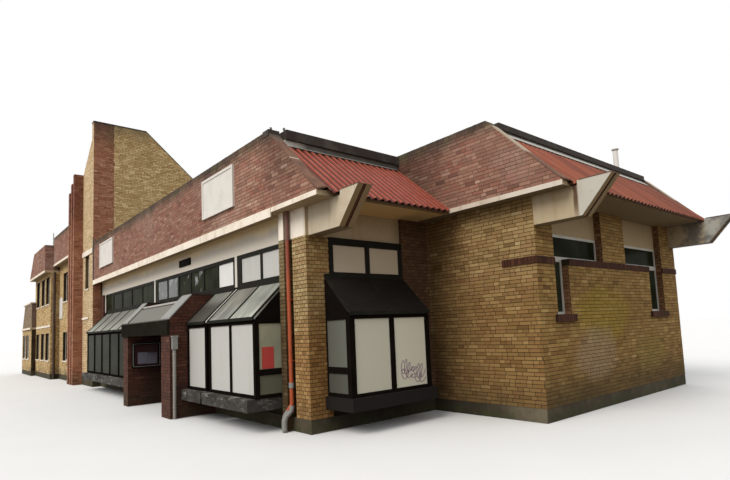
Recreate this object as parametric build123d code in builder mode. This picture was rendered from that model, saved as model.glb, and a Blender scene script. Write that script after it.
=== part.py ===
"""Single-storey station hall with a corner wing, a stair tower and a two-storey side wing.

Lengths are millimetres.  X runs along the front, Y runs into the building and Z is up.
X zero is the outer face of the near corner pier and Y zero is the front of that pier.
Every outline is drawn in those hall coordinates and the planes below shift it, so that
the finished building stands centred on the origin.
"""
import os

from build123d import *

# Levels
base_top = 270          # top of the concrete base and of the floor
string_z = 3050         # underside of the red string course
lintel_z = 3790         # underside of the concrete beams
soffit_z = 4356         # underside of the roof plate
ledge_top = 4452        # top of the thin white band
parapet_top = 6080      # top of the raised brick parapets
flat_roof_z = 5620      # underside of the flat roof
flat_roof_t = 150

# Hall
hall_length = 16000
rear_depth = 10414      # front of the piers to the back wall's outer face
wall_t = 300
pier_w = 493
pier_d = 525
beam_set = 60           # the beam stands back from the pier faces
beam_t = 300
overhang = 302          # ledge and parapet stand forward of the piers
parapet_t = 250
brick_set = 15          # raised brickwork stands back from the ledge under it
hall_ledge_out = 863    # ledge beyond the end face of the hall
hall_rake_in = 864      # top of the rake back from the end face
hall_cope_in = 500
hall_eaves_out = 1050
end_pier_y = 2547       # where the rear pier of the end opening starts

# Corner wing
wing_x = 2881           # end face of the corner wing
wing_y = 3374           # its front face
wing_ledge_out = 829
wing_rake_in = 766
wing_cope_in = 610
wing_eaves_out = 935

# Brackets
bracket_t = 320
bracket_low = 1000      # reach along the bottom edge
bracket_high = 1590     # reach along the top edge
bracket_top = 4446
bracket_groove = 80     # notch down the middle of each raked tip

# Projecting glazed bays
bay_out = 680           # front bays, from the pier faces
end_bay_out = 770
bay_sill_low = 430
bay_sill_top = 670
bay_head = 2210
bay_top = 2950
frame_t = 60
near_bay_right = -850
near_bay_left = -4350
mullion = 90
wide_light = 1110       # lights come out near these widths
narrow_light = 860
leaf_w = 630            # door leaves and their side lights

# Entrance porch
porch_right = near_bay_left
porch_left = -8270
porch_right_t = 600
porch_left_t = 430
porch_out = 1100
porch_head = 2340
porch_low = 1990
porch_top = 2960

# Stair tower
tower_right = -16000
tower_left = -19190
tower_depth = 6500
tower_top = 11450
tower_level_y = 1850
tower_slope = 0.886     # fall of the tower roof for each step back
fin_out = 370
fin_top = 9500
fin_t = 250
fin_pitch = 500
fin_step = 330
cope_plate = 40         # thin coping along the top of the tower walls
cope_lip = 20
shaft_low = 5000        # underside of the mass that shapes the tower roof

# Side wing
first_floor = 2850
side_t = 300
mid_left = -23500
far_left = -28800
far_y = -700
mid_slab = 5900
far_drop = 300          # the end block's roof plate lies this much lower
far_slab = mid_slab - far_drop
slab_t = 110
band_h = 1430
annex_left = -32300
annex_y = -930
annex_depth = 4600
annex_slab = 2720
annex_top = 4250

drain_r = 40            # grey downpipe at the porch
fascia_out = 60         # fascia before the porch flanks, the foremost piece
plate_out = 100         # annex roof plate beyond its wall, the farthest to the left

mid_x = (wing_x + bracket_high + annex_left - plate_out) / 2
mid_y = (rear_depth + overhang - porch_out - fascia_out) / 2


def level(z):
    """Horizontal plane at height z, drawn in hall coordinates."""
    return Plane(origin=(-mid_x, -mid_y, z))


def facing_front(y):
    """Upright plane at depth y; its sketch axes are X and Z and it faces the front."""
    return Plane(origin=(-mid_x, y - mid_y, 0), x_dir=(1, 0, 0), z_dir=(0, -1, 0))


def facing_end(x):
    """Upright plane at x; its sketch axes are Y and Z and it faces the hall's end."""
    return Plane(origin=(x - mid_x, -mid_y, 0), x_dir=(0, 1, 0), z_dir=(1, 0, 0))


def span(a0, a1, b0, b1, mode=Mode.ADD):
    """Rectangle between two corners of the current sketch."""
    with Locations(((a0 + a1) / 2, (b0 + b1) / 2)):
        Rectangle(abs(a1 - a0), abs(b1 - b0), mode=mode)


def outline(*points, mode=Mode.ADD):
    """Straight-sided face through the given points."""
    Polygon(*points, align=None, mode=mode)


def save(part, name):
    part.label = name
    export_step(part, f"parts/{name}.step")


def bays(start, stop, light, bar):
    """Clear openings between equal bars, each near the width light: a list of (start, stop)."""
    count = max(1, round((stop - start) / (light + bar)))
    clear = (stop - start - bar * (count + 1)) / count
    return [(start + bar + i * (clear + bar), start + bar + i * (clear + bar) + clear)
            for i in range(count)]


os.makedirs("parts", exist_ok=True)

# Hall floor, piers and low walls
with BuildPart() as ground_slab:
    with BuildSketch(level(0)):
        outline((tower_right, 0), (0, 0), (0, wing_y), (wing_x, wing_y),
                (wing_x, rear_depth), (tower_right, rear_depth))
    extrude(amount=base_top)
save(ground_slab.part, "ground_slab")

left_pier_right = tower_right + 480
slim_right = near_bay_right + 190
slim_out = 100
beam_back = beam_set + beam_t
with BuildPart() as hall_piers:
    with BuildSketch(level(base_top)):
        span(-pier_w, 0, 0, pier_d)
        span(tower_right, left_pier_right, 0, pier_d)
    extrude(amount=lintel_z - base_top)
    with BuildSketch(level(base_top)):
        span(-pier_w, 0, end_pier_y, wing_y + wall_t)
    extrude(amount=soffit_z - base_top)
    with BuildSketch(level(0)):
        span(near_bay_right, slim_right, -slim_out, 0)
    extrude(amount=lintel_z)
    with BuildSketch(level(base_top)):
        span(near_bay_right, slim_right, 0, beam_back)
        span(slim_right, -pier_w, beam_back - 100, beam_back)
    extrude(amount=lintel_z - base_top)
save(hall_piers.part, "hall_piers")

low_wall_back = beam_set + 200
with BuildPart() as low_walls:
    with BuildSketch(level(base_top)):
        span(near_bay_left, near_bay_right, beam_set, low_wall_back)
        span(left_pier_right, porch_left, beam_set, low_wall_back)
        span(-low_wall_back, -beam_set, pier_d, end_pier_y)
    extrude(amount=bay_sill_top - base_top)
save(low_walls.part, "low_walls")

# Concrete beams, brackets and the roof plate

def bracket(face, near, eaves_out):
    """Beak-shaped cantilever: flat below, raked at the tip, notched under the eaves."""
    step = face + eaves_out + 10
    with BuildSketch(facing_front(near)) as shape:
        outline((face, lintel_z), (face + bracket_low, lintel_z),
                (face + bracket_high, bracket_top), (step, bracket_top),
                (step, soffit_z), (face, soffit_z))
    extrude(shape.sketch, amount=-bracket_t)
    with BuildSketch(facing_front(near + bracket_t / 2 - bracket_groove / 2)) as shape:
        outline((face + bracket_low - 60, lintel_z), (face + bracket_low, lintel_z),
                (face + bracket_high, bracket_top), (face + bracket_high - 60, bracket_top))
    extrude(shape.sketch, amount=-bracket_groove, mode=Mode.SUBTRACT)


with BuildPart() as brackets:
    bracket(0, 72, hall_eaves_out)
    bracket(wing_x, wing_y, wing_eaves_out)
    bracket(wing_x, rear_depth - bracket_t, wing_eaves_out)
save(brackets.part, "brackets")

corner_front = wing_y - overhang
rear_out = rear_depth + overhang
with BuildPart() as roof_plate:
    with BuildSketch(level(soffit_z)):
        outline((tower_right, -overhang), (hall_ledge_out, -overhang),
                (hall_ledge_out, corner_front), (wing_x + wing_ledge_out, corner_front),
                (wing_x + wing_ledge_out, rear_out), (tower_right, rear_out))
    extrude(amount=ledge_top - soffit_z)
save(roof_plate.part, "roof_plate")


# Raised brick parapets, raked where the tiled slopes begin
def raked_parapet(start, foot, head, y):
    with BuildSketch(facing_front(y)) as shape:
        outline((start, ledge_top), (foot, ledge_top), (head, parapet_top),
                (start, parapet_top))
    extrude(shape.sketch, amount=brick_set - parapet_t)


hall_up_face = -hall_cope_in - 60
hall_up_back = hall_up_face - parapet_t
wing_up_face = wing_x - wing_cope_in - 60
wing_up_back = wing_up_face - parapet_t
wing_foot = wing_x + wing_ledge_out
wing_head = wing_x - wing_rake_in
with BuildPart() as brick_parapets:
    raked_parapet(tower_right, hall_ledge_out, -hall_rake_in, brick_set - overhang)
    raked_parapet(hall_up_back, wing_foot, wing_head, corner_front + brick_set)
    raked_parapet(tower_right, wing_foot, wing_head, rear_out - parapet_t)
save(brick_parapets.part, "brick_parapets")

cope_t = 130
hall_cope_t = 200
cope_top = parapet_top - 30
cope_low = cope_top - cope_t
hall_cope_low = cope_top - hall_cope_t
front_in = -overhang + parapet_t
corner_in = corner_front + parapet_t
rear_in = rear_out - parapet_t
with BuildPart() as flat_roof:
    with BuildSketch(level(flat_roof_z)):
        outline((tower_right, front_in), (hall_up_back, front_in), (hall_up_back, corner_in),
                (wing_up_back, corner_in), (wing_up_back, rear_in), (tower_right, rear_in))
    extrude(amount=flat_roof_t)
save(flat_roof.part, "flat_roof")

# Tiled end slopes, each a plate from the upstand down to the eaves
hall_tile_head = parapet_top - 346
wing_tile_head = parapet_top - 190
tile_foot = ledge_top - 27
tile_drop = 55


def tiled_slope(top_x, top_z, eaves_x, near, far):
    with BuildSketch(facing_front(near)) as shape:
        outline((top_x, top_z), (top_x, top_z - tile_drop),
                (eaves_x, tile_foot - tile_drop), (eaves_x, tile_foot))
    extrude(shape.sketch, amount=near - far)


# Corner wing walls with the two flag-shaped windows
window_low = string_z + 140
slot_low = 2040
frame_head = 3710
window_1 = (4020, 6120)
slot_1 = (4020, 4560)
window_2 = (7270, 9460)
slot_2 = (8600, 9460)
reveal = 150
with BuildPart() as corner_front_wall:
    with BuildSketch(level(base_top)):
        span(0, wing_x, wing_y, wing_y + wall_t)
    extrude(amount=soffit_z - base_top)
save(corner_front_wall.part, "corner_front_wall")

with BuildPart() as corner_end_wall:
    with BuildSketch(facing_end(wing_x)):
        span(wing_y + wall_t, rear_depth, base_top, soffit_z)
        for window, slot in ((window_1, slot_1), (window_2, slot_2)):
            span(*window, window_low, soffit_z, mode=Mode.SUBTRACT)
            span(*slot, slot_low, window_low, mode=Mode.SUBTRACT)
    extrude(amount=-wall_t)
save(corner_end_wall.part, "corner_end_wall")

with BuildPart() as concrete_beams:
    with BuildSketch(level(lintel_z)):
        span(tower_right, near_bay_right, beam_set, beam_back)
        span(near_bay_right, slim_right, -slim_out, beam_back)
        span(slim_right, -pier_w, 0, beam_back)
        span(-pier_w, 0, 0, pier_d)
    extrude(amount=soffit_z - lintel_z)
    with BuildSketch(level(lintel_z)):
        span(-beam_back, -beam_set, pier_d, end_pier_y)
    extrude(amount=soffit_z - lintel_z)
    with BuildSketch(facing_end(wing_x - reveal)):
        for window in (window_1, window_2):
            span(*window, frame_head, soffit_z)
    extrude(amount=reveal - wall_t)
save(concrete_beams.part, "concrete_beams")


string_out = 24
string_start = wing_x - 781
with BuildPart() as string_course:
    with BuildSketch(level(string_z)):
        span(string_start, wing_x + string_out, wing_y - string_out, wing_y)
        span(wing_x, wing_x + string_out, wing_y, slot_1[0])
        span(wing_x, wing_x + string_out, slot_1[1], slot_2[0])
        span(wing_x, wing_x + string_out, slot_2[1], rear_depth)
    extrude(amount=window_low - string_z)
    for slot in (slot_1, slot_2):
        with BuildSketch(level(slot_low - 150)):
            span(wing_x, wing_x + 60, slot[0] - 110, slot[1] + 100)
        extrude(amount=150)
save(string_course.part, "string_course")

# Back wall towards the platforms
back_opening_1 = (-15150, -9150)
back_opening_2 = (-3230, 1200)
door_left = porch_left + porch_left_t
door_right = porch_right - porch_right_t
with BuildPart() as back_wall:
    with BuildSketch(facing_front(rear_depth - wall_t)):
        span(tower_right, wing_x - wall_t, base_top, soffit_z)
        for start, stop in (back_opening_1, back_opening_2):
            span(start, stop, bay_top, lintel_z, mode=Mode.SUBTRACT)
        span(door_left, door_right, base_top, lintel_z, mode=Mode.SUBTRACT)
    extrude(amount=-wall_t)
save(back_wall.part, "back_wall")

# Glazed bays that stand forward of the walls
pane_low = bay_sill_top + 70
pane_high = bay_head - 90
rise = bay_top - bay_head
side_bar_low = 1110     # cross bar of the bays' side lights
side_bar_top = 1230


def front_bay(left, right):
    """Front frame of a bay, with equal lights between its posts."""
    with BuildSketch(facing_front(-bay_out)) as shape:
        span(left, right, bay_sill_top, bay_head)
        for start, stop in bays(left, right, wide_light, mullion):
            span(start, stop, pane_low, pane_high, mode=Mode.SUBTRACT)
    extrude(shape.sketch, amount=-frame_t)


def bay_side(right, glazed):
    """Side of a front bay from its frame back to the wall, with two lights if glazed."""
    inner = -bay_out + frame_t
    with BuildSketch(facing_end(right)) as shape:
        outline((inner, bay_sill_top), (beam_set, bay_sill_top), (beam_set, bay_top),
                (inner, bay_head + rise * frame_t / (bay_out + beam_set)))
        if glazed:
            span(inner + 30, beam_set - 30, pane_low, side_bar_low, mode=Mode.SUBTRACT)
            span(inner + 30, beam_set - 30, side_bar_top, pane_high, mode=Mode.SUBTRACT)
    extrude(shape.sketch, amount=-frame_t)


bay_gap_left = -3200
bay_gap_right = -3060
far_bay_left = -15100
roof_lift = 50


def front_bay_roof(left, right):
    with BuildSketch(facing_end(right)) as shape:
        outline((-bay_out, bay_head), (beam_set, bay_top), (beam_set, bay_top + roof_lift),
                (-bay_out - 30, bay_head + roof_lift - 15), (-bay_out - 30, bay_head))
    extrude(shape.sketch, amount=left - right)


sill_out = bay_out + 170
# End bay of the hall
end_left = 400
end_right = 2500
end_bar = mullion + 30
with BuildPart() as bay_frames:
    front_bay(bay_gap_right, near_bay_right)
    bay_side(near_bay_right, True)
    bay_side(bay_gap_right + frame_t, False)
    front_bay(near_bay_left, bay_gap_left)
    bay_side(bay_gap_left, True)
    front_bay(far_bay_left, porch_left)
    bay_side(far_bay_left + frame_t, False)
    with BuildSketch(facing_end(end_bay_out)):
        span(end_left, end_right, bay_sill_top, bay_head)
        for start, stop in bays(end_left, end_right, wide_light, end_bar):
            span(start, stop, pane_low, pane_high, mode=Mode.SUBTRACT)
    extrude(amount=-frame_t)
    for near in (end_left, end_right - frame_t):
        with BuildSketch(facing_front(near)):
            outline((0, bay_sill_top), (end_bay_out - frame_t, bay_sill_top),
                    (end_bay_out - frame_t, bay_head + rise * frame_t / end_bay_out),
                    (0, bay_top))
            span(30, end_bay_out - frame_t - 60, pane_low, side_bar_low, mode=Mode.SUBTRACT)
            span(30, end_bay_out - frame_t - 60, side_bar_top, pane_high, mode=Mode.SUBTRACT)
        extrude(amount=-frame_t)
save(bay_frames.part, "bay_frames")

with BuildPart() as bay_roofs:
    front_bay_roof(bay_gap_right, near_bay_right)
    front_bay_roof(near_bay_left, bay_gap_left)
    front_bay_roof(far_bay_left, porch_left)
    with BuildSketch(facing_front(end_left)):
        outline((0, bay_top), (end_bay_out, bay_head), (end_bay_out + 30, bay_head),
                (end_bay_out + 30, bay_head + roof_lift - 15), (0, bay_top + roof_lift))
    extrude(amount=end_left - end_right)
save(bay_roofs.part, "bay_roofs")

with BuildPart() as bay_sills:
    with BuildSketch(level(bay_sill_low)):
        span(bay_gap_right - 20, near_bay_right - 40, -sill_out, beam_set)
        span(near_bay_left, bay_gap_left + 20, -sill_out, beam_set)
        span(far_bay_left - 60, porch_left, -sill_out, beam_set)
    extrude(amount=bay_sill_top - bay_sill_low)
    with BuildSketch(level(bay_sill_low)):
        span(0, end_bay_out + 90, end_left - 60, end_right + 60)
        span(-beam_set, 0, pier_d, end_pier_y)
    extrude(amount=bay_sill_top - bay_sill_low)
save(bay_sills.part, "bay_sills")

# Lights between the bays and the beam
light_low = 3120
light_high = 3690
light_groups = ((left_pier_right, -9190, wide_light), (-8900, -3230, narrow_light),
                (-2970, near_bay_right, wide_light))
lights = [light for start, stop, width in light_groups
          for light in bays(start, stop, width, mullion)]
with BuildPart() as white_panels:
    with BuildSketch(facing_front(-bay_out + 20)):
        for start, stop in (bays(bay_gap_right, near_bay_right, wide_light, mullion)
                            + bays(near_bay_left, bay_gap_left, wide_light, mullion)):
            span(start, stop, pane_low, pane_high)
    extrude(amount=-20)
    with BuildSketch(facing_end(end_bay_out - 20)):
        for start, stop in bays(end_left, end_right, wide_light, end_bar):
            span(start, stop, pane_low, pane_high)
    extrude(amount=-20)
    for near in (end_left + 20, end_right - 40):
        with BuildSketch(facing_front(near)):
            span(30, end_bay_out - frame_t - 60, pane_low, side_bar_low)
            span(30, end_bay_out - frame_t - 60, side_bar_top, pane_high)
        extrude(amount=-20)
    with BuildSketch(facing_front(beam_set + 20)):
        for left, right in lights[-3:]:
            span(left, right, light_low, light_high)
    extrude(amount=-20)
    with BuildSketch(facing_end(-20)):
        for start, stop in bays(pier_d, end_pier_y, wide_light, end_bar):
            span(start, stop, light_low - 30, light_high - 50)
    extrude(amount=-20)
save(white_panels.part, "white_panels")

# Entrance porch
flank_rake = porch_out - 540


def flank(left, right):
    with BuildSketch(facing_end(right)) as shape:
        outline((-porch_out, 0), (0, 0), (0, base_top), (beam_back, base_top),
                (beam_back, bay_top), (-flank_rake, bay_top), (-porch_out, porch_head + 40))
    extrude(shape.sketch, amount=left - right)


with BuildPart() as porch_walls:
    flank(porch_left, door_left)
    flank(door_right, porch_right)
save(porch_walls.part, "porch_walls")

with BuildPart() as porch_roof:
    with BuildSketch(facing_end(door_right)):
        outline((-porch_out, porch_head - 60), (-porch_out, porch_head),
                (beam_set, bay_top - 20), (beam_set, bay_top - 80))
    extrude(amount=door_left - door_right)
save(porch_roof.part, "porch_roof")

with BuildPart() as porch_fascia:
    with BuildSketch(facing_front(-porch_out - fascia_out)):
        span(porch_left - 30, porch_right, porch_low, porch_head)
    extrude(amount=-fascia_out)
save(porch_fascia.part, "porch_fascia")

door_head = 2350


def doorway(y):
    """Fixed glazed screen: two door leaves between side lights, with lights above."""
    with BuildSketch(facing_front(y)) as shape:
        span(door_left, door_right, base_top, bay_top)
        for start, stop in bays(door_left, door_right, leaf_w, mullion):
            span(start, stop, base_top + 150, door_head, mode=Mode.SUBTRACT)
            span(start, stop, door_head + mullion, bay_top - mullion, mode=Mode.SUBTRACT)
    extrude(shape.sketch, amount=-frame_t)


def doorway_glass(y):
    with BuildSketch(facing_front(y + 20)) as shape:
        for start, stop in bays(door_left, door_right, leaf_w, mullion):
            span(start, stop, base_top + 150, door_head)
            span(start, stop, door_head + mullion, bay_top - mullion)
    extrude(shape.sketch, amount=-20)


back_glass_y = rear_depth - 150
with BuildPart() as door_screens:
    doorway(beam_set)
    doorway(back_glass_y)
save(door_screens.part, "door_screens")

with BuildPart() as door_glass:
    doorway_glass(beam_set)
    doorway_glass(back_glass_y)
save(door_glass.part, "door_glass")

back_lights = ((*back_opening_1, wide_light), (door_left, door_right, narrow_light),
               (*back_opening_2, wide_light))
with BuildPart() as light_frames:
    with BuildSketch(facing_front(beam_set)):
        span(left_pier_right, near_bay_right, bay_top, lintel_z)
        span(left_pier_right, far_bay_left, bay_sill_top, bay_top)
        span(bay_gap_left, bay_gap_right, bay_sill_top, bay_top)
        for left, right in lights:
            span(left, right, light_low, light_high, mode=Mode.SUBTRACT)
    extrude(amount=-frame_t)
    with BuildSketch(facing_end(0)):
        span(pier_d, end_pier_y, bay_top, lintel_z)
        for start, stop in bays(pier_d, end_pier_y, wide_light, end_bar):
            span(start, stop, light_low - 30, light_high - 50, mode=Mode.SUBTRACT)
    extrude(amount=-frame_t)
    with BuildSketch(facing_front(back_glass_y)):
        for start, stop, width in back_lights:
            span(start, stop, bay_top, lintel_z)
            for left, right in bays(start, stop, width, mullion):
                span(left, right, light_low, light_high, mode=Mode.SUBTRACT)
    extrude(amount=-frame_t)
save(light_frames.part, "light_frames")

with BuildPart() as hall_glass:
    with BuildSketch(facing_front(-bay_out + 20)):
        for start, stop in bays(far_bay_left, porch_left, wide_light, mullion):
            span(start, stop, pane_low, pane_high)
    extrude(amount=-20)
    for right in (near_bay_right, bay_gap_left):
        with BuildSketch(facing_end(right - 20)):
            span(-bay_out + frame_t + 30, beam_set - 30, pane_low, side_bar_low)
            span(-bay_out + frame_t + 30, beam_set - 30, side_bar_top, pane_high)
        extrude(amount=-20)
    with BuildSketch(facing_front(beam_set + 20)):
        for left, right in lights[:-3]:
            span(left, right, light_low, light_high)
    extrude(amount=-20)
    with BuildSketch(facing_front(back_glass_y + 20)):
        for start, stop, width in back_lights:
            for left, right in bays(start, stop, width, mullion):
                span(left, right, light_low, light_high)
    extrude(amount=-20)
save(hall_glass.part, "hall_glass")

with BuildPart() as display_case:
    with BuildSketch(facing_end(door_left + 80)):
        span(-1005, -210, 1090, 1800)
    extrude(amount=-80)
    with BuildSketch(facing_end(door_left + 80)):
        span(-950, -265, 1145, 1745)
    extrude(amount=-50, mode=Mode.SUBTRACT)
save(display_case.part, "display_case")

# Stair tower: a tall gable wall, a raked front and three stepped fins
tower_front = -overhang
gable_low = tower_top - (tower_depth - tower_level_y) * tower_slope
rake_head = 10700
rake_fall = 0.73
inner_right = tower_right - side_t
rake_foot = rake_head - (inner_right - tower_left) * rake_fall
tower_light_x = (tower_right - 1430, tower_right - 720)
tower_light_z = (4170, 5640)
with BuildPart() as tower_front_wall:
    with BuildSketch(facing_front(tower_front)):
        outline((tower_left, base_top), (inner_right, base_top), (inner_right, rake_head),
                (tower_left, rake_foot))
        span(*tower_light_x, *tower_light_z, mode=Mode.SUBTRACT)
    extrude(amount=-side_t)
save(tower_front_wall.part, "tower_front_wall")

fin_first = tower_left + 2 * fin_pitch + fin_t
with BuildPart() as tower_fins:
    for i in range(3):
        with BuildSketch(facing_front(tower_front - fin_out)):
            right = fin_first - i * fin_pitch
            span(right - fin_t, right, 0, fin_top - i * fin_step)
        extrude(amount=-fin_out)
save(tower_fins.part, "tower_fins")

roof_t = 150
tower_inner = tower_front + side_t
roof_drop = 300


def sloping_mass(drop):
    """Mass under both falls of the tower roof, to the left and to the back."""
    with BuildSketch(facing_front(tower_inner)) as shape:
        outline((tower_left, shaft_low - drop), (inner_right, shaft_low - drop),
                (inner_right, rake_head - 120 - drop), (tower_left, rake_foot - 120 - drop))
    side = extrude(shape.sketch, amount=tower_inner - tower_depth, mode=Mode.PRIVATE)
    with BuildSketch(facing_end(inner_right)) as shape:
        outline((tower_inner, shaft_low - drop), (tower_depth, shaft_low - drop),
                (tower_depth, gable_low - roof_drop - drop),
                (tower_level_y, tower_top - roof_drop - drop),
                (tower_inner, tower_top - roof_drop - drop))
    back = extrude(shape.sketch, amount=tower_left - inner_right, mode=Mode.PRIVATE)
    return side & back


with BuildPart() as tower_roof:
    add(sloping_mass(0))
    add(sloping_mass(roof_t), mode=Mode.SUBTRACT)
save(tower_roof.part, "tower_roof")

# Side wing: a middle block and a lower, forward end block, each two storeys
with BuildPart() as side_slab:
    with BuildSketch(level(0)):
        outline((far_left, far_y), (mid_left, far_y), (mid_left, tower_front),
                (tower_right, tower_front), (tower_right, rear_depth), (far_left, rear_depth))
        span(annex_left, far_left, annex_y, annex_depth)
        span(far_left, far_left + 450, annex_y, far_y)
    extrude(amount=base_top)
save(side_slab.part, "side_slab")

window_h = 1450
head_drop = 200         # window heads below the end block's roof plate
storeys = (950, far_slab - head_drop - window_h)


def window_holes(starts, width, subtract=Mode.SUBTRACT, grow=0, only=None):
    for sill in (only or storeys):
        for start in starts:
            span(start - grow, start + width + grow, sill - grow, sill + window_h + grow,
                 mode=subtract)


mid_front_starts = (-22450, -20900)
far_front_starts = (-28250, -26500, -25000)
front_light = 1150
with BuildPart() as mid_front_wall:
    with BuildSketch(facing_front(tower_front)):
        span(mid_left, tower_left, base_top, mid_slab)
        window_holes(mid_front_starts, front_light)
    extrude(amount=-side_t)
save(mid_front_wall.part, "mid_front_wall")

with BuildPart() as far_front_wall:
    with BuildSketch(facing_front(far_y)):
        span(far_left, mid_left, base_top, far_slab)
        window_holes(far_front_starts, front_light)
    extrude(amount=-side_t)
    with BuildSketch(level(base_top)):
        span(mid_left - side_t, mid_left, far_y + side_t, tower_front + side_t)
    extrude(amount=far_slab - base_top)
save(far_front_wall.part, "far_front_wall")

left_starts = (1500, 4200, 6900)
side_left_light = 1300
with BuildPart() as side_left_wall:
    with BuildSketch(facing_end(far_left + side_t)):
        span(far_y + side_t, rear_depth - side_t, base_top, far_slab)
        window_holes(left_starts, side_left_light, only=(storeys[1],))
        window_holes(left_starts[2:], side_left_light, only=(storeys[0],))
    extrude(amount=-side_t)
save(side_left_wall.part, "side_left_wall")

back_starts = tuple(far_left + 1100 + i * 2400 for i in range(5))
with BuildPart() as side_back_wall:
    with BuildSketch(facing_front(rear_depth - side_t)):
        outline((far_left, base_top), (tower_right, base_top), (tower_right, mid_slab),
                (mid_left, mid_slab), (mid_left, far_slab), (far_left, far_slab))
        window_holes(back_starts, side_left_light)
    extrude(amount=-side_t)
save(side_back_wall.part, "side_back_wall")

with BuildPart() as tower_gable:
    with BuildSketch(facing_end(tower_right)):
        outline((tower_front, base_top), (tower_depth, base_top),
                (tower_depth, gable_low - cope_plate),
                (tower_level_y, tower_top - cope_plate), (tower_front, tower_top - cope_plate))
    extrude(amount=-side_t)
    with BuildSketch(facing_end(tower_right)):
        span(tower_depth, rear_depth - side_t, base_top, mid_slab)
    extrude(amount=-side_t)
save(tower_gable.part, "tower_gable")

tower_left_top = rake_foot - 120 - roof_t
with BuildPart() as tower_left_wall:
    turn = tower_level_y + (tower_top - roof_drop - roof_t - tower_left_top) / tower_slope
    back_top = gable_low - roof_drop - roof_t + side_t * tower_slope
    with BuildSketch(facing_end(tower_left + side_t)):
        outline((tower_inner, base_top), (tower_depth - side_t, base_top),
                (tower_depth - side_t, back_top), (turn, tower_left_top),
                (tower_inner, tower_left_top))
    extrude(amount=-side_t)
save(tower_left_wall.part, "tower_left_wall")

with BuildPart() as tower_back_wall:
    with BuildSketch(facing_front(tower_depth - side_t)):
        span(tower_left, inner_right, base_top, gable_low - roof_drop - roof_t)
    extrude(amount=-side_t)
save(tower_back_wall.part, "tower_back_wall")

with BuildPart() as upper_floor:
    with BuildSketch(level(first_floor)):
        outline((far_left + side_t, far_y + side_t), (mid_left - side_t, far_y + side_t),
                (mid_left - side_t, tower_inner), (tower_left, tower_inner),
                (tower_left, tower_depth), (inner_right, tower_depth),
                (inner_right, rear_depth - side_t), (far_left + side_t, rear_depth - side_t))
    extrude(amount=200)
save(upper_floor.part, "upper_floor")

band_out = 300
mid_face = tower_front - band_out
far_face = far_y - band_out
with BuildPart() as side_roof_plates:
    with BuildSketch(level(mid_slab)):
        outline((mid_left, mid_face), (tower_left, mid_face), (tower_left, tower_depth),
                (tower_right, tower_depth), (tower_right, rear_out), (mid_left, rear_out))
    extrude(amount=slab_t)
    with BuildSketch(level(far_slab)):
        span(mid_left, mid_left + side_t, tower_inner, rear_depth - side_t)
    extrude(amount=mid_slab - far_slab)
    with BuildSketch(level(far_slab)):
        span(far_left - 100, mid_left, far_face, rear_out)
    extrude(amount=slab_t)
save(side_roof_plates.part, "side_roof_plates")

mid_band_top = mid_slab + slab_t + band_h
far_band_h = 1340
far_band_top = far_slab + slab_t + far_band_h
far_rake = 1500
with BuildPart() as mid_bands:
    with BuildSketch(level(mid_slab + slab_t)):
        span(mid_left, tower_left, mid_face + brick_set, mid_face + parapet_t)
        span(mid_left, mid_left + parapet_t, mid_face + parapet_t, rear_out - parapet_t)
        span(mid_left, tower_right, rear_out - parapet_t, rear_out - brick_set)
        span(tower_right - parapet_t, tower_right, tower_depth, rear_out - parapet_t)
    extrude(amount=band_h)
save(mid_bands.part, "mid_bands")


def far_band(y):
    with BuildSketch(facing_front(y)) as shape:
        outline((far_left - 100, far_slab + slab_t), (mid_left, far_slab + slab_t),
                (mid_left, far_band_top), (far_left - 100 + far_rake, far_band_top))
    extrude(shape.sketch, amount=brick_set - parapet_t)


with BuildPart() as far_bands:
    far_band(far_face + brick_set)
    far_band(rear_out - parapet_t)
    with BuildSketch(level(far_slab + slab_t)):
        span(mid_left - parapet_t, mid_left, far_face + parapet_t, mid_face + parapet_t)
    extrude(amount=far_band_top - far_slab - slab_t)
save(far_bands.part, "far_bands")

side_roof_drop = 380
with BuildPart() as side_roofs:
    with BuildSketch(level(mid_band_top - side_roof_drop)):
        outline((mid_left + parapet_t, mid_face + parapet_t),
                (tower_left, mid_face + parapet_t), (tower_left, tower_depth),
                (tower_right - parapet_t, tower_depth),
                (tower_right - parapet_t, rear_out - parapet_t),
                (mid_left + parapet_t, rear_out - parapet_t))
    extrude(amount=roof_t)
    with BuildSketch(level(far_band_top - side_roof_drop)):
        outline((far_left + far_rake + 300, far_face + parapet_t),
                (mid_left - parapet_t, far_face + parapet_t),
                (mid_left - parapet_t, mid_face + parapet_t),
                (mid_left, mid_face + parapet_t), (mid_left, rear_out - parapet_t),
                (far_left + far_rake + 300, rear_out - parapet_t))
    extrude(amount=roof_t)
save(side_roofs.part, "side_roofs")

# Tiled slope and coping at the free end of the side wing
end_up_x = far_left + far_rake + 300
far_cope_low = far_band_top - 160
with BuildPart() as upstand_walls:
    with BuildSketch(level(ledge_top)):
        span(hall_up_back, hall_up_face, front_in, corner_front)
    extrude(amount=hall_cope_low - ledge_top)
    with BuildSketch(level(ledge_top)):
        span(wing_up_back, wing_up_face, corner_in, rear_in)
    extrude(amount=cope_low - ledge_top)
    with BuildSketch(level(far_slab + slab_t)):
        span(end_up_x - parapet_t, end_up_x, far_face + parapet_t, rear_out - parapet_t)
    extrude(amount=far_cope_low - far_slab - slab_t)
save(upstand_walls.part, "upstand_walls")

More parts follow.
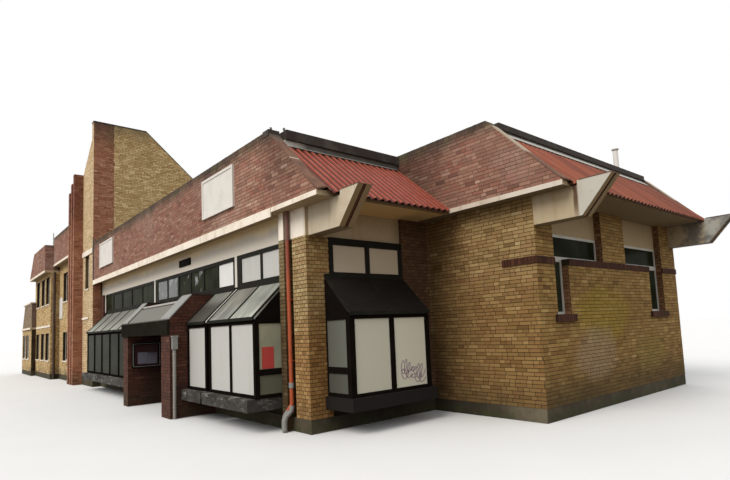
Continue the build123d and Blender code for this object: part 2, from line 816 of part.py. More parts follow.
with BuildPart() as end_copings:
    with BuildSketch(level(hall_cope_low)):
        span(hall_up_back, -hall_cope_in, front_in, corner_front)
    extrude(amount=hall_cope_t)
    with BuildSketch(level(cope_low)):
        span(wing_up_back, wing_x - wing_cope_in, corner_in, rear_in)
    extrude(amount=cope_t)
    with BuildSketch(level(far_cope_low)):
        span(end_up_x - parapet_t - 60, end_up_x, far_face + parapet_t, rear_out - parapet_t)
    extrude(amount=cope_t)
    with BuildSketch(facing_end(tower_right + cope_lip)):
        outline((tower_front - cope_lip, tower_top - cope_plate),
                (tower_level_y, tower_top - cope_plate), (tower_depth, gable_low - cope_plate),
                (tower_depth, gable_low), (tower_level_y, tower_top),
                (tower_front - cope_lip, tower_top))
    extrude(amount=-side_t - 2 * cope_lip)
    with BuildSketch(facing_front(tower_front)):
        outline((tower_left, rake_foot), (inner_right, rake_head),
                (inner_right, rake_head + cope_plate), (tower_left, rake_foot + cope_plate))
    extrude(amount=-side_t - cope_lip)
save(end_copings.part, "end_copings")

with BuildPart() as tile_slopes:
    tiled_slope(hall_up_face, hall_tile_head, hall_eaves_out, front_in, corner_front)
    tiled_slope(wing_up_face, wing_tile_head, wing_x + wing_eaves_out, corner_in, rear_in)
    with BuildSketch(facing_front(far_face + parapet_t)):
        outline((end_up_x - parapet_t, far_cope_low - 190),
                (end_up_x - parapet_t, far_cope_low - 190 - tile_drop),
                (far_left - 300, far_slab + 30), (far_left - 300, far_slab + 30 + tile_drop))
    extrude(amount=far_face + parapet_t - (rear_out - parapet_t))
save(tile_slopes.part, "tile_slopes")

window_sets = ((facing_front(tower_front + 120), mid_front_starts, front_light, storeys),
               (facing_front(far_y + 120), far_front_starts, front_light, storeys),
               (facing_end(far_left + 180), left_starts, side_left_light, storeys[1:]),
               (facing_end(far_left + 180), left_starts[2:], side_left_light, storeys[:1]),
               (facing_front(rear_depth - 180), back_starts, side_left_light, storeys))
with BuildPart() as window_frames:
    for window, slot in ((window_1, slot_1), (window_2, slot_2)):
        with BuildSketch(facing_end(wing_x - reveal)):
            span(*window, window_low, frame_head)
            span(*slot, slot_low, window_low)
            span(window[0] + 55, window[1] - 55, window_low + 55, frame_head - 55,
                 mode=Mode.SUBTRACT)
            span(slot[0] + 55, slot[1] - 55, slot_low + 55, window_low - 55,
                 mode=Mode.SUBTRACT)
        extrude(amount=-frame_t)
    for plane, starts, width, sills in window_sets:
        with BuildSketch(plane):
            for sill in sills:
                for start in starts:
                    span(start, start + width, sill, sill + window_h)
                    span(start + 70, start + width - 70, sill + 70, sill + window_h - 70,
                         mode=Mode.SUBTRACT)
        extrude(amount=-frame_t)
    with BuildSketch(facing_front(tower_front + 120)):
        span(*tower_light_x, *tower_light_z)
        span(tower_light_x[0] + 70, tower_light_x[1] - 70, tower_light_z[0] + 70,
             tower_light_z[1] - 70, mode=Mode.SUBTRACT)
    extrude(amount=-frame_t)
save(window_frames.part, "window_frames")

# Low annex at the free end, under its own red band
annex_right = far_left + 450
annex_floor = annex_slab + slab_t
annex_starts = (annex_left + 400, annex_right - 1000 - front_light)
with BuildPart() as annex_walls:
    with BuildSketch(facing_front(annex_y)):
        span(annex_left, annex_right, base_top, annex_slab)
        window_holes(annex_starts, front_light, only=(storeys[0],))
    extrude(amount=annex_y - far_y)
    with BuildSketch(level(base_top)):
        span(annex_left, annex_left + side_t, far_y, annex_depth)
        span(annex_left + side_t, far_left, annex_depth - side_t, annex_depth)
    extrude(amount=annex_slab - base_top)
save(annex_walls.part, "annex_walls")

with BuildPart() as annex_plates:
    with BuildSketch(level(annex_slab)):
        outline((annex_left - plate_out, annex_y - 80), (annex_right, annex_y - 80),
                (annex_right, far_y), (far_left, far_y), (far_left, annex_depth),
                (annex_left - plate_out, annex_depth))
    extrude(amount=slab_t)
    with BuildSketch(level(annex_top)):
        outline((annex_left + 900, annex_y - 80), (annex_right, annex_y - 80),
                (annex_right, far_y), (far_left, far_y), (far_left, annex_depth),
                (annex_left + 900, annex_depth))
    extrude(amount=80)
save(annex_plates.part, "annex_plates")

with BuildPart() as annex_bands:
    with BuildSketch(facing_front(annex_y)):
        outline((annex_left, annex_floor), (annex_right, annex_floor),
                (annex_right, annex_top), (annex_left + 1000, annex_top))
    extrude(amount=annex_y - far_y)
    with BuildSketch(facing_front(far_y)):
        outline((annex_left, annex_floor), (annex_left + side_t, annex_floor),
                (annex_left + 1000 + side_t, annex_top), (annex_left + 1000, annex_top))
    extrude(amount=far_y - (annex_depth - side_t))
    with BuildSketch(facing_front(annex_depth - side_t)):
        outline((annex_left, annex_floor), (far_left, annex_floor),
                (far_left, annex_top), (annex_left + 1000, annex_top))
    extrude(amount=-side_t)
save(annex_bands.part, "annex_bands")

with BuildPart() as window_glass:
    with BuildSketch(facing_end(wing_x - reveal - 20)):
        for window, slot in ((window_1, slot_1), (window_2, slot_2)):
            span(window[0] + 55, window[1] - 55, window_low + 55, frame_head - 55)
            span(slot[0] + 55, slot[1] - 55, slot_low + 55, window_low - 55)
    extrude(amount=-20)
    for plane, starts, width, sills in window_sets:
        with BuildSketch(plane.offset(-20)):
            for sill in sills:
                for start in starts:
                    span(start + 70, start + width - 70, sill + 70, sill + window_h - 70)
        extrude(amount=-20)
    with BuildSketch(facing_front(tower_front + 140)):
        span(tower_light_x[0] + 70, tower_light_x[1] - 70, tower_light_z[0] + 70,
             tower_light_z[1] - 70)
    extrude(amount=-20)
    with BuildSketch(facing_front(annex_y + 80)):
        for start in annex_starts:
            span(start, start + front_light, storeys[0], storeys[0] + window_h)
    extrude(amount=-30)
save(window_glass.part, "window_glass")

# Rainwater pipes and small fittings
pipe_r = 40
lamp_low = 1640
lamp_high = 1940
pipe_x = -pier_w - 84
shoe_x = pipe_x - 63
with BuildPart() as downpipes:
    with BuildLine() as run:
        FilletPolyline((pipe_x - mid_x, -60 - mid_y, soffit_z), (pipe_x - mid_x, -60 - mid_y, 520),
                       (shoe_x - mid_x, -200 - mid_y, 300), (shoe_x - mid_x, -200 - mid_y, 0),
                       radius=120)
    with BuildSketch(Plane(origin=run.line @ 0, z_dir=run.line % 0)):
        Circle(pipe_r)
    sweep()
    with BuildSketch(level(0)):
        with Locations((porch_right + drain_r, 90 - porch_out)):
            Circle(drain_r)
    extrude(amount=lamp_low)
    with BuildSketch(level(0)):
        with Locations((mid_left + 60, far_y + 150)):
            Circle(60)
    extrude(amount=far_slab)
save(downpipes.part, "downpipes")

with BuildPart() as porch_lamp:
    with BuildSketch(facing_end(porch_right + 110)):
        span(-porch_out + 30, -porch_out + 150, lamp_low, lamp_high)
    extrude(amount=-110)
save(porch_lamp.part, "porch_lamp")

vent_left = -6863
vent_w = 862
vent_low = lintel_z + 150
vent_h = 200
with BuildPart() as beam_vent:
    with BuildSketch(facing_front(beam_set - 25)):
        span(vent_left, vent_left + vent_w, vent_low, vent_low + vent_h)
    extrude(amount=-25)
save(beam_vent.part, "beam_vent")

trim_left = fin_first + 10
with BuildPart() as tower_trims:
    with BuildSketch(facing_front(tower_front - 40)):
        span(trim_left, tower_right, tower_light_z[1], tower_light_z[1] + 220)
        span(trim_left, tower_light_x[1], first_floor, first_floor + 90)
    extrude(amount=-40)
save(tower_trims.part, "tower_trims")
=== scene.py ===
"""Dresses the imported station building: brickwork, tile sheets, paint, glass and small fittings.

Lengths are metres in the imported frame.  Points are given in hall coordinates, as the source
of the part has them: X zero is the outer face of the near corner pier, Y zero the front of
that pier and Z zero the ground.  hall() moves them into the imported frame.
"""
import math

import bpy
import numpy as np
from mathutils import Matrix, Vector


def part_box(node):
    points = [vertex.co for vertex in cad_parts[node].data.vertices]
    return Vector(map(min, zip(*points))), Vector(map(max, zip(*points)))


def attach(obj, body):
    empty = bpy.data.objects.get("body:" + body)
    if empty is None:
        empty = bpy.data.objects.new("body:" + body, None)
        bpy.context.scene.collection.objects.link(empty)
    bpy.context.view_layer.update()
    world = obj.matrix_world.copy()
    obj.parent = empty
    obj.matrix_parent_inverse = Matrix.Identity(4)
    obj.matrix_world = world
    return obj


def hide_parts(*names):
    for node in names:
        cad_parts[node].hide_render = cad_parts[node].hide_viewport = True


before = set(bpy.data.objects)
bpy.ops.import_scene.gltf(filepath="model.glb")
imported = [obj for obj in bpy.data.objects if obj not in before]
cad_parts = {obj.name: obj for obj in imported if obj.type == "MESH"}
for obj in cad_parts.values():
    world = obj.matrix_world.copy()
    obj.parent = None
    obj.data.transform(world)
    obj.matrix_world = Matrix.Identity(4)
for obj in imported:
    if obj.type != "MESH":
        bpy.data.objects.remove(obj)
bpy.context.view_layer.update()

ORIGIN_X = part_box("hall_piers")[1][0]
ORIGIN_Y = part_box("ground_slab")[0][1]


def hall(points):
    """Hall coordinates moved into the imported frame."""
    return np.asarray(points, float) + (ORIGIN_X, ORIGIN_Y, 0.0)


def extent(node):
    """Lowest and highest corner of a CAD node, in hall coordinates."""
    low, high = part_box(node)
    return np.array(low) - (ORIGIN_X, ORIGIN_Y, 0), np.array(high) - (ORIGIN_X, ORIGIN_Y, 0)


# ---- Shader maths -------------------------------------------------------------------------
def operation(kind, turned=False):
    """Method that adds a Math node of one kind, with its numbers turned round where asked."""
    def method(value, *others):
        """The new node's result, as a Value."""
        numbers = (value, *others)
        return value.paint.math(kind, *(numbers[::-1] if turned else numbers))
    return method


class Value:
    """A number socket that takes part in arithmetic; each operation adds a Math node."""

    def __init__(self, paint, socket):
        self.paint = paint
        self.socket = socket

    __add__ = __radd__ = operation("ADD")
    __mul__ = __rmul__ = operation("MULTIPLY")
    __sub__ = operation("SUBTRACT")
    __rsub__ = operation("SUBTRACT", turned=True)
    __truediv__ = operation("DIVIDE")
    __pow__ = operation("POWER")
    abs = operation("ABSOLUTE")
    fract = operation("FRACT")
    most = operation("MAXIMUM")
    least = operation("MINIMUM")

    def clip(self):
        """Kept between 0 and 1."""
        return self.most(0.0).least(1.0)

    def rise(self, low, high):
        """Smooth step: 0 below low, 1 above high (or the other way round if low > high)."""
        node = self.paint.add("ShaderNodeMapRange", {"interpolation_type": "SMOOTHSTEP"},
                              {"Value": self, "From Min": low, "From Max": high})
        return Value(self.paint, node.outputs["Result"])


class Nodes:
    """A node tree that grows by calls of one method."""

    def __init__(self, tree):
        self.tree = tree

    def add(self, kind, settings=None, inputs=None):
        """New node with its settings, then the values or links of its sockets."""
        node = self.tree.nodes.new(kind)
        for key, value in (settings or {}).items():
            setattr(node, key, value)
        for key, value in (inputs or {}).items():
            self.feed(node.inputs[key], value)
        return node

    def feed(self, socket, value):
        """Links a socket, or sets its own value."""
        if isinstance(value, Value):
            value = value.socket
        if isinstance(value, bpy.types.NodeSocket):
            self.tree.links.new(value, socket)
        elif isinstance(value, tuple) and len(value) == 3 and socket.type == "RGBA":
            socket.default_value = (*value, 1.0)
        else:
            socket.default_value = value


class Paint(Nodes):
    """One material: a Principled shader, the nodes that feed it and its colour so far."""

    def __init__(self, name, rough=0.8, metallic=0.0, shine=0.5):
        self.material = bpy.data.materials.new(name)
        self.material.use_nodes = True
        super().__init__(self.material.node_tree)
        self.shader = self.tree.nodes["Principled BSDF"]
        for key, value in (("Roughness", rough), ("Metallic", metallic),
                           ("Specular IOR Level", shine)):
            self.shader.inputs[key].default_value = value
        self.place = self.add("ShaderNodeTexCoord").outputs["Object"]
        parts = self.add("ShaderNodeSeparateXYZ", {}, {"Vector": self.place})
        self.x = Value(self, parts.outputs["X"]) - float(ORIGIN_X)
        self.y = Value(self, parts.outputs["Y"]) - float(ORIGIN_Y)
        self.z = Value(self, parts.outputs["Z"])
        self.body = None

    def math(self, kind, *values):
        """New Math node of one kind, fed with numbers or sockets."""
        node = self.add("ShaderNodeMath", {"operation": kind}, dict(enumerate(values)))
        return Value(self, node.outputs[0])

    def stretch(self, sx, sy, sz):
        """Object coordinates scaled along each axis, for streaks and grain."""
        node = self.add("ShaderNodeVectorMath", {"operation": "MULTIPLY"},
                        {0: self.place, 1: (sx, sy, sz)})
        return node.outputs[0]

    def noise(self, scale, detail, rough=0.55, where=None):
        """Cloudy noise from 0 to 1, about 0.5 on average."""
        node = self.add("ShaderNodeTexNoise", {}, {"Vector": where or self.place, "Scale": scale,
                                                   "Detail": detail, "Roughness": rough})
        return Value(self, node.outputs["Fac"])

    def spots(self, scale):
        """Distance to the nearest of a crowd of random points."""
        node = self.add("ShaderNodeTexVoronoi", {}, {"Vector": self.place, "Scale": scale})
        return Value(self, node.outputs["Distance"])

    def attribute(self, name):
        """Number that each face or point of the mesh carries."""
        return Value(self, self.add("ShaderNodeAttribute", {"attribute_name": name}).outputs["Fac"])

    def facing(self):
        """X, Y and Z of the surface's own direction."""
        node = self.add("ShaderNodeSeparateXYZ", {},
                        {"Vector": self.add("ShaderNodeNewGeometry").outputs["True Normal"]})
        return [Value(self, node.outputs[axis]) for axis in "XYZ"]

    def mix(self, first, second, share, blend="MIX"):
        """Colour that goes from the first to the second as share goes from 0 to 1."""
        node = self.add("ShaderNodeMix", {"data_type": "RGBA", "blend_type": blend},
                        {0: share, 6: first, 7: second})
        return node.outputs[2]

    def coat(self, colour, share):
        """Lays a colour over the body colour, as far as share says."""
        self.body = self.mix(self.body, colour, share)

    def tint(self, colour, share):
        """Multiplies the body colour by another, as far as share says."""
        self.body = self.mix(self.body, colour, share, "MULTIPLY")

    def ramp(self, value, stops):
        """Colour read from a row of stops (place, colour) by a number."""
        node = self.add("ShaderNodeValToRGB")
        ends = node.color_ramp.elements
        while len(ends) < len(stops):
            ends.new(0.5)
        for end, (place, colour) in zip(ends, stops):
            end.position = place
            end.color = (*colour, 1.0)
        self.feed(node.inputs["Fac"], value)
        return node.outputs["Color"]

    def finish(self, rough=None, height=None, depth=0.002, strength=0.6):
        """Feeds the shader with the body colour, the roughness and a bump of some depth."""
        self.feed(self.shader.inputs["Base Color"], self.body)
        if rough is not None:
            self.feed(self.shader.inputs["Roughness"], rough)
        if height is not None:
            bump = self.add("ShaderNodeBump", {}, {"Height": height, "Distance": depth,
                                                   "Strength": strength})
            self.feed(self.shader.inputs["Normal"], bump.outputs["Normal"])
        return self.material


# ---- Finishes -----------------------------------------------------------------------------
PARAPET_TOP = 6.08
LEDGE_TOP = 4.452
BASE_TOP = 0.27


def soot(paint, top, reach):
    """Blackens and greens a surface towards a top edge, in ragged runs."""
    ragged = paint.noise(1.3, 5.0, 0.6) * 0.9 - 0.45
    near_top = (paint.z + ragged * reach).rise(top - reach, top)
    mould = paint.mix((0.040, 0.032, 0.024), (0.060, 0.058, 0.028),
                      paint.noise(3.1, 2.0).rise(0.45, 0.65))
    paint.coat(mould, near_top * 0.92)


def paint_corner_shade(paint, share=0.6):
    """Painted shade in the corner beside the corner wing and in the porch."""
    x, y, z = paint.x, paint.y, paint.z
    corner = x.rise(1.6, -0.05) * (y - 2.9).abs().rise(0.7, 0.3) * x.rise(-1.2, -0.9)
    paint.coat((0.030, 0.016, 0.008), corner * share)
    porch = x.rise(-8.0, -7.8) * x.rise(-4.9, -5.1) * y.rise(-1.0, -0.3)
    paint.coat((0.012, 0.006, 0.004), porch * z.rise(3.0, 2.6) * 0.7)


def yellow_wear_and_shade(paint):
    """Marks of the hall's and the corner wing's yellow walls, and painted shade on them.

    The corner wing's walls and faces turned to +X are painted darker than the hall's piers, and the
    narrow pier and recess behind the hall's pipe darker still, as painted shade; the wing's end
    wall
    has three cloudy spots: each fades with ((y - middle) / wide)^2 + ((z - low) / high)^2, made
    ragged by noise.
    """
    x, y, z = paint.x, paint.y, paint.z
    end = paint.facing()[0].rise(0.3, 0.8)
    off_street, wing_end = x.rise(0.02, 0.1), x.rise(2.5, 2.8)
    upper = z.rise(2.2, 3.3) * x.rise(0.5, 1.8)
    # Painted shade: faces turned to +X and the corner wing's walls are darkened, less so high up on
    # the wing's front; on the wing's end wall the darkening is slight and warm.
    side_shade = paint.mix((0.80, 0.70, 0.57), (0.95, 0.86, 0.62), end * wing_end)
    paint.tint(side_shade, (end + off_street * (1.0 - upper * 0.8)).clip())
    on_end = end * wing_end
    paint.coat((0.060, 0.038, 0.012), z.rise(1.25, 0.35) * off_street * (0.25 + on_end * 0.42))
    pier = x.rise(-0.55, -0.50) * x.rise(0.03, 0.01) * y.rise(0.6, 0.5)
    paint.tint(paint.mix((1.05, 0.93, 0.82), (1.22, 1.32, 1.46), z.rise(1.6, 2.6)), pier)
    paint.tint((0.94, 0.82, 0.62), x.rise(0.01, 0.03) * y.rise(0.6, 0.5) * z.rise(2.9, 2.2))
    # Painted shade on the narrow pier and recess behind the hall's pipe: very dark low down,
    # lighter high up.
    shaded_recess = x.rise(-0.90, -0.87) * x.rise(-0.60, -0.64)
    paint.tint(paint.mix((0.29, 0.28, 0.29), (0.80, 0.92, 1.10), z.rise(1.5, 3.7)), shaded_recess)
    ragged = paint.noise(1.6, 4.0, 0.6) * 1.2 - 0.6
    for colour, middle, low, wide, high, share in (
            ((0.30, 0.21, 0.020), 6.0, 2.0, 1.5, 0.8, 0.60),
            ((0.31, 0.22, 0.135), 5.5, 1.2, 1.1, 0.7, 0.55),
            ((0.21, 0.16, 0.030), 8.4, 1.1, 1.1, 0.6, 0.40)):
        away = ((y - middle) / wide).abs() ** 2.0 + ((z - low) / high).abs() ** 2.0
        paint.coat(colour, (away + ragged).rise(1.0, 0.2) * on_end * share)


def parapet_wear(paint):
    """Sooty cloud below the raked end of the hall's parapet, with paler bricks beside it."""
    x, street = paint.x, paint.y.rise(0.5, 0.3)
    cloud = x + paint.noise(1.2, 4.0, 0.6) * 1.2 - 0.6
    paint.tint((0.70, 0.72, 0.72), cloud.rise(-1.2, -0.5) * paint.z.rise(4.75, 5.2) * street)
    paint.tint((1.18, 1.25, 1.26), x.rise(-3.9, -3.1) * x.rise(-0.9, -1.5) * street)


def fin_wear(paint):
    """Darker heads on the stair tower's fins."""
    fins = paint.y.rise(-0.32, -0.34) * paint.z.rise(6.4, 8.0)
    paint.tint((0.62, 0.56, 0.60), fins)


def brick(name, stops, patch, odd, top=None, reach=0.4, weather=None):
    """Fired brick: each brick its own tone, cloudy weathering, soot above and damp below.

    patch and odd are the colours of the clouds and of single bricks; weather adds the marks
    that one stretch of wall has of its own.
    """
    paint = Paint(name, rough=0.92, shine=0.25)
    tone = paint.attribute("tone")
    grain = paint.noise(38.0, 4.0, 0.7)
    paint.body = paint.ramp((tone + (grain - 0.5) * 0.3).clip(), stops)
    clouds = paint.noise(0.7, 4.0, 0.6)
    redder = (tone * 57.0).fract() * 0.6 + paint.noise(1.0, 4.0, 0.6) * 0.8
    paint.coat(odd, redder.rise(0.72, 1.0) * 0.55)
    paint.coat(patch, clouds.rise(0.50, 0.72) * 0.5)
    paint.coat((0.03, 0.022, 0.014), paint.noise(5.0, 3.0).rise(0.62, 0.8) * 0.35)
    paint.coat((0.050, 0.044, 0.024),
               paint.noise(1.1, 4.0).rise(0.3, 0.7) * paint.z.rise(0.75, BASE_TOP) * 0.6)
    if weather:
        weather(paint)
    paint_corner_shade(paint)
    if top is not None:
        soot(paint, top, reach)
    return paint.finish(height=grain, depth=0.004, strength=0.7)


def mortar(name, dark, light, top=None, reach=0.4):
    """Raked joints between the bricks, and the plain backs of the brick walls."""
    paint = Paint(name, rough=0.95, shine=0.2)
    sand = paint.noise(60.0, 3.0, 0.7)
    paint.body = paint.mix(dark, light, paint.noise(1.6, 4.0).rise(0.35, 0.7))
    paint.coat((0.022, 0.018, 0.013), paint.noise(0.8, 3.0).rise(0.55, 0.8) * 0.5)
    paint_corner_shade(paint)
    if top is not None:
        soot(paint, top, reach)
    return paint.finish(height=sand, depth=0.003, strength=0.5)


def painted_concrete(name, colour, stain_and_side_shade, under, board):
    """Old masonry paint with rain streaks and faint shutter marks, and painted light and shade:
    faces towards the street and the brackets' outer ends are painted lighter, the corner wing's
    faces, faces turned to +X and undersides darker.

    stain is the colour of the streaks and of the painted shade on faces turned to +X, under that
    of the painted shade on the undersides, and board the height of the shutter marks.
    """
    paint = Paint(name, rough=0.75, shine=0.3)
    x, y, z = paint.x, paint.y, paint.z
    streak = paint.noise(1.0, 4.0, 0.6, paint.stretch(7.0, 7.0, 0.8)).rise(0.5, 0.75)
    cloud = paint.noise(1.4, 4.0, 0.6).rise(0.4, 0.7)
    side, front, down = paint.facing()
    facing_street = front.rise(-0.5, -0.9)
    wing = y.rise(2.6, 3.0)
    ledge = y.rise(-0.2, -0.28).most((y - 3.07).abs().rise(0.1, 0.05) * z.rise(4.33, 4.35))
    # Painted light: faces towards the street, on the hall and its ledges, are painted whiter, the
    # corner wing's ledge less so; the corner wing's other faces get a warm painted shade.
    street = x.rise(0.1, -0.1).most(ledge) * facing_street
    paint.body = paint.mix(colour, paint.mix((0.83, 0.74, 0.62), (0.62, 0.54, 0.45), wing), street)
    paint.coat((0.36, 0.26, 0.135), wing * (1.0 - street) * 0.55)
    # Painted light: the brackets' outer ends, out in the open beyond the roof plate, are painted
    # whiter; the far bracket's are painted a duller grey.
    lit_tip, far_bracket = x.rise(3.80, 3.84) * facing_street, y.rise(9.6, 9.9)
    paint.coat((0.50, 0.49, 0.44), lit_tip * 0.75)
    paint.coat((0.29, 0.285, 0.245), far_bracket * lit_tip * 0.8)
    beam = x.rise(-0.84, -0.88) * y.rise(-0.15, -0.05) * street
    paint.coat((0.60, 0.54, 0.455), beam)
    # Painted light on the beam's top, lifting the shadow of the drip band, tinted yellowish-brown
    # like the marks there.
    paint.coat((0.98, 0.80, 0.50), beam * (z + cloud * 0.10).rise(4.05, 4.34) * 0.8)
    paint.coat(stain_and_side_shade, (streak * 0.35 + cloud * 0.3) * (1.0 - lit_tip * 0.6) * (1.0 - beam * 0.85))
    paint.coat((0.12, 0.10, 0.07), paint.noise(9.0, 4.0, 0.7).rise(0.62, 0.8) * 0.4)
    # Painted shade on undersides, kept lighter under the street ledge and lighter still, as painted
    # light, under the hall's eaves.
    under = paint.mix(under, (0.34, 0.24, 0.13), y.rise(0.15, 0.05) * x.rise(0.9, 0.8))
    lit = y.rise(0.5, 0.9) * y.rise(3.12, 3.05) * x.rise(1.2, 1.0)
    under = paint.mix(under, (0.88, 0.60, 0.28), lit)
    paint.coat(under, down.rise(-0.2, -0.7) * 0.85)
    # Painted shade on faces turned to +X, in the colour of the streaks.
    paint.coat(stain_and_side_shade, side.rise(0.3, 0.8) * 0.55)
    paint.coat((0.080, 0.076, 0.068), down.rise(0.7, 0.95) * z.rise(3.9, 4.1) * 0.9)
    rust = (x - 3.80 + paint.noise(3.0, 2.0) * 0.04).abs().rise(0.06, 0.02)
    rust = rust * y.rise(3.8, 3.5) * z.rise(3.6, 4.1)
    paint.coat((0.075, 0.032, 0.010), rust * 0.9)
    grime = paint.noise(2.6, 5.0, 0.7).rise(0.42, 0.6) * far_bracket
    paint.coat((0.10, 0.10, 0.095), grime * 0.75)
    paint_corner_shade(paint, 0.30)
    fine = paint.noise(45.0, 3.0)
    return paint.finish(0.68 + fine * 0.2, fine + streak * (board * (1.0 - beam)))


def plain_concrete(name, colour, dirt):
    """Bare cement surface with mossy foot and pores; painted shade in the inner corner by the
    corner wing, painted light on the street face of the wing's plinth.
    """
    paint = Paint(name, rough=0.9, shine=0.2)
    x, y, z = paint.x, paint.y, paint.z
    cloud = paint.noise(1.8, 5.0, 0.65).rise(0.3, 0.65)
    paint.body = paint.mix(colour, dirt, cloud * 0.8)
    # Painted shade in the inner corner by the corner wing.
    paint.coat((0.024, 0.019, 0.012),
               x.rise(2.3, 0.9) * y.rise(0.3, 0.5) * x.rise(-1.0, -0.5) * 0.8)
    # Painted light: the street face of the corner wing's plinth, away from the corner, is
    # brightened.
    street = paint.facing()[1].rise(-0.5, -0.9) * x.rise(1.75, 2.45) * y.rise(2.8, 2.9)
    paint.tint((1.75, 1.8, 1.9), street)
    moss = z.rise(0.24, 0.03) * paint.noise(4.0, 4.0, 0.6).rise(0.40, 0.6) * (1.0 - street * 0.6)
    paint.coat((0.040, 0.044, 0.016), moss * 0.8)
    holes = paint.spots(24.0).rise(0.10, 0.02)
    paint.coat((0.03, 0.026, 0.02), holes * 0.6)
    return paint.finish(height=paint.noise(26.0, 4.0, 0.7) - holes, depth=0.004)


def metal_paint(name, colour, rough, dust=(0.25, 0.23, 0.20), share=0.25, metallic=0.0, shine=0.4):
    """Painted or coated metal, slightly uneven, with dust over a share of it."""
    paint = Paint(name, rough=rough, metallic=metallic, shine=shine)
    film = paint.noise(2.5, 4.0, 0.6).rise(0.4, 0.75)
    paint.body = paint.mix(colour, dust, film * share)
    return paint.finish(rough=rough + film * 0.25, height=paint.noise(30.0, 2.0),
                        depth=0.0006, strength=0.4)


def frame_paint():
    """Near-black frames, with the narrow posts between the groups of lights left white."""
    paint = Paint("frame paint", rough=0.6, shine=0.03)
    film = paint.noise(2.5, 4.0, 0.6).rise(0.4, 0.75)
    paint.body = paint.mix((0.013, 0.012, 0.009), (0.034, 0.031, 0.024), film * 0.4)
    near, middle, far = [(paint.x + left).abs().rise(0.065, 0.055) for left in (3.17, 9.13, 15.48)]
    post = (near + middle + far).clip() * paint.z.rise(3.04, 3.05) * paint.y.rise(0.3, 0.2)
    paint.coat((0.58, 0.55, 0.48), post)
    return paint.finish(rough=0.5 + film * 0.25)


def pipe_paint():
    """Red oxide on the hall's pipe, light grey at the porch and brown at the side wing."""
    paint = Paint("pipe paint", rough=0.5, shine=0.35)
    x, z = paint.x, paint.z
    wear = paint.noise(6.0, 4.0, 0.6).rise(0.45, 0.75)
    paint.body = paint.mix((0.36, 0.072, 0.022), (0.22, 0.045, 0.018), wear * 0.6)
    # Painted shade darkens the hall pipe's upper part, under the eaves; from 3.75 m up it turns a
    # greyer brown.
    for colour, where in (((0.20, 0.045, 0.025), z.rise(2.9, 3.3) * 0.7),
                          ((0.135, 0.070, 0.055), z.rise(3.72, 3.80) * 0.85),
                          ((0.24, 0.225, 0.20), x.rise(-3.0, -3.2)),
                          ((0.045, 0.022, 0.014), x.rise(-15.0, -15.2)),
                          ((0.20, 0.19, 0.17), z.rise(0.43, 0.41) * x.rise(-3.0, -2.8))):
        paint.coat(colour, where)
    return paint.finish(rough=0.45 + wear * 0.3)


def tile_sheet():
    """Red coated corrugated sheets: painted highlights on the crests, painted shade in the
    valleys, pale cut edges.
    """
    paint = Paint("red tile sheet", rough=0.5, shine=0.22)
    y = paint.y
    crest = paint.attribute("crest")
    # Painted shade: the valleys are painted far darker than the crests.
    paint.body = paint.mix((0.055, 0.010, 0.006), (0.240, 0.043, 0.021), crest.rise(0.15, 0.75))
    # Painted highlight along the crests, stronger on the hall's slope.
    glint = crest.rise(0.90, 1.0) * paint.noise(6.0, 3.0).rise(0.30, 0.6)
    paint.coat((0.48, 0.21, 0.14), glint * (0.15 + y.rise(3.2, 3.0) * 0.45))
    wing = y.rise(3.0, 3.2) * paint.x.rise(1.0, 1.5)
    paint.coat(paint.mix((0.225, 0.058, 0.025), (0.180, 0.047, 0.021), y.rise(5.0, 8.0)), wing)
    runs = paint.noise(1.0, 2.0, 0.6, paint.stretch(0.2, 5.5, 0.2)).rise(0.46, 0.58)
    paint.coat((0.085, 0.020, 0.012), runs * wing * 0.65)
    paint.coat((0.17, 0.036, 0.012), y.rise(3.0, 3.2) * (1.0 - wing) * 0.75)
    paint.coat((0.09, 0.026, 0.017), paint.noise(1.7, 4.0, 0.6).rise(0.5, 0.8) * 0.4)
    paint.coat((0.13, 0.055, 0.035), paint.attribute("edge"))
    return paint.finish(0.42 + paint.noise(8.0, 3.0) * 0.3, paint.noise(70.0, 2.0), 0.001)


def felt():
    """Bitumen roof felt in lapped rolls, with moss and pale puddle marks."""
    paint = Paint("roof felt", rough=0.95, shine=0.2)
    roll = paint.x.fract()
    seam = roll.rise(0.03, 0.0) + roll.rise(0.97, 1.0)
    puddles = paint.noise(0.9, 4.0).rise(0.4, 0.7)
    paint.body = paint.mix((0.070, 0.068, 0.065), (0.098, 0.094, 0.086), puddles)
    paint.coat((0.03, 0.03, 0.03), seam * 0.7)
    paint.coat((0.06, 0.068, 0.036), paint.noise(2.2, 5.0, 0.65).rise(0.58, 0.72) * 0.45)
    return paint.finish(height=paint.noise(90.0, 2.0) + seam, depth=0.004)


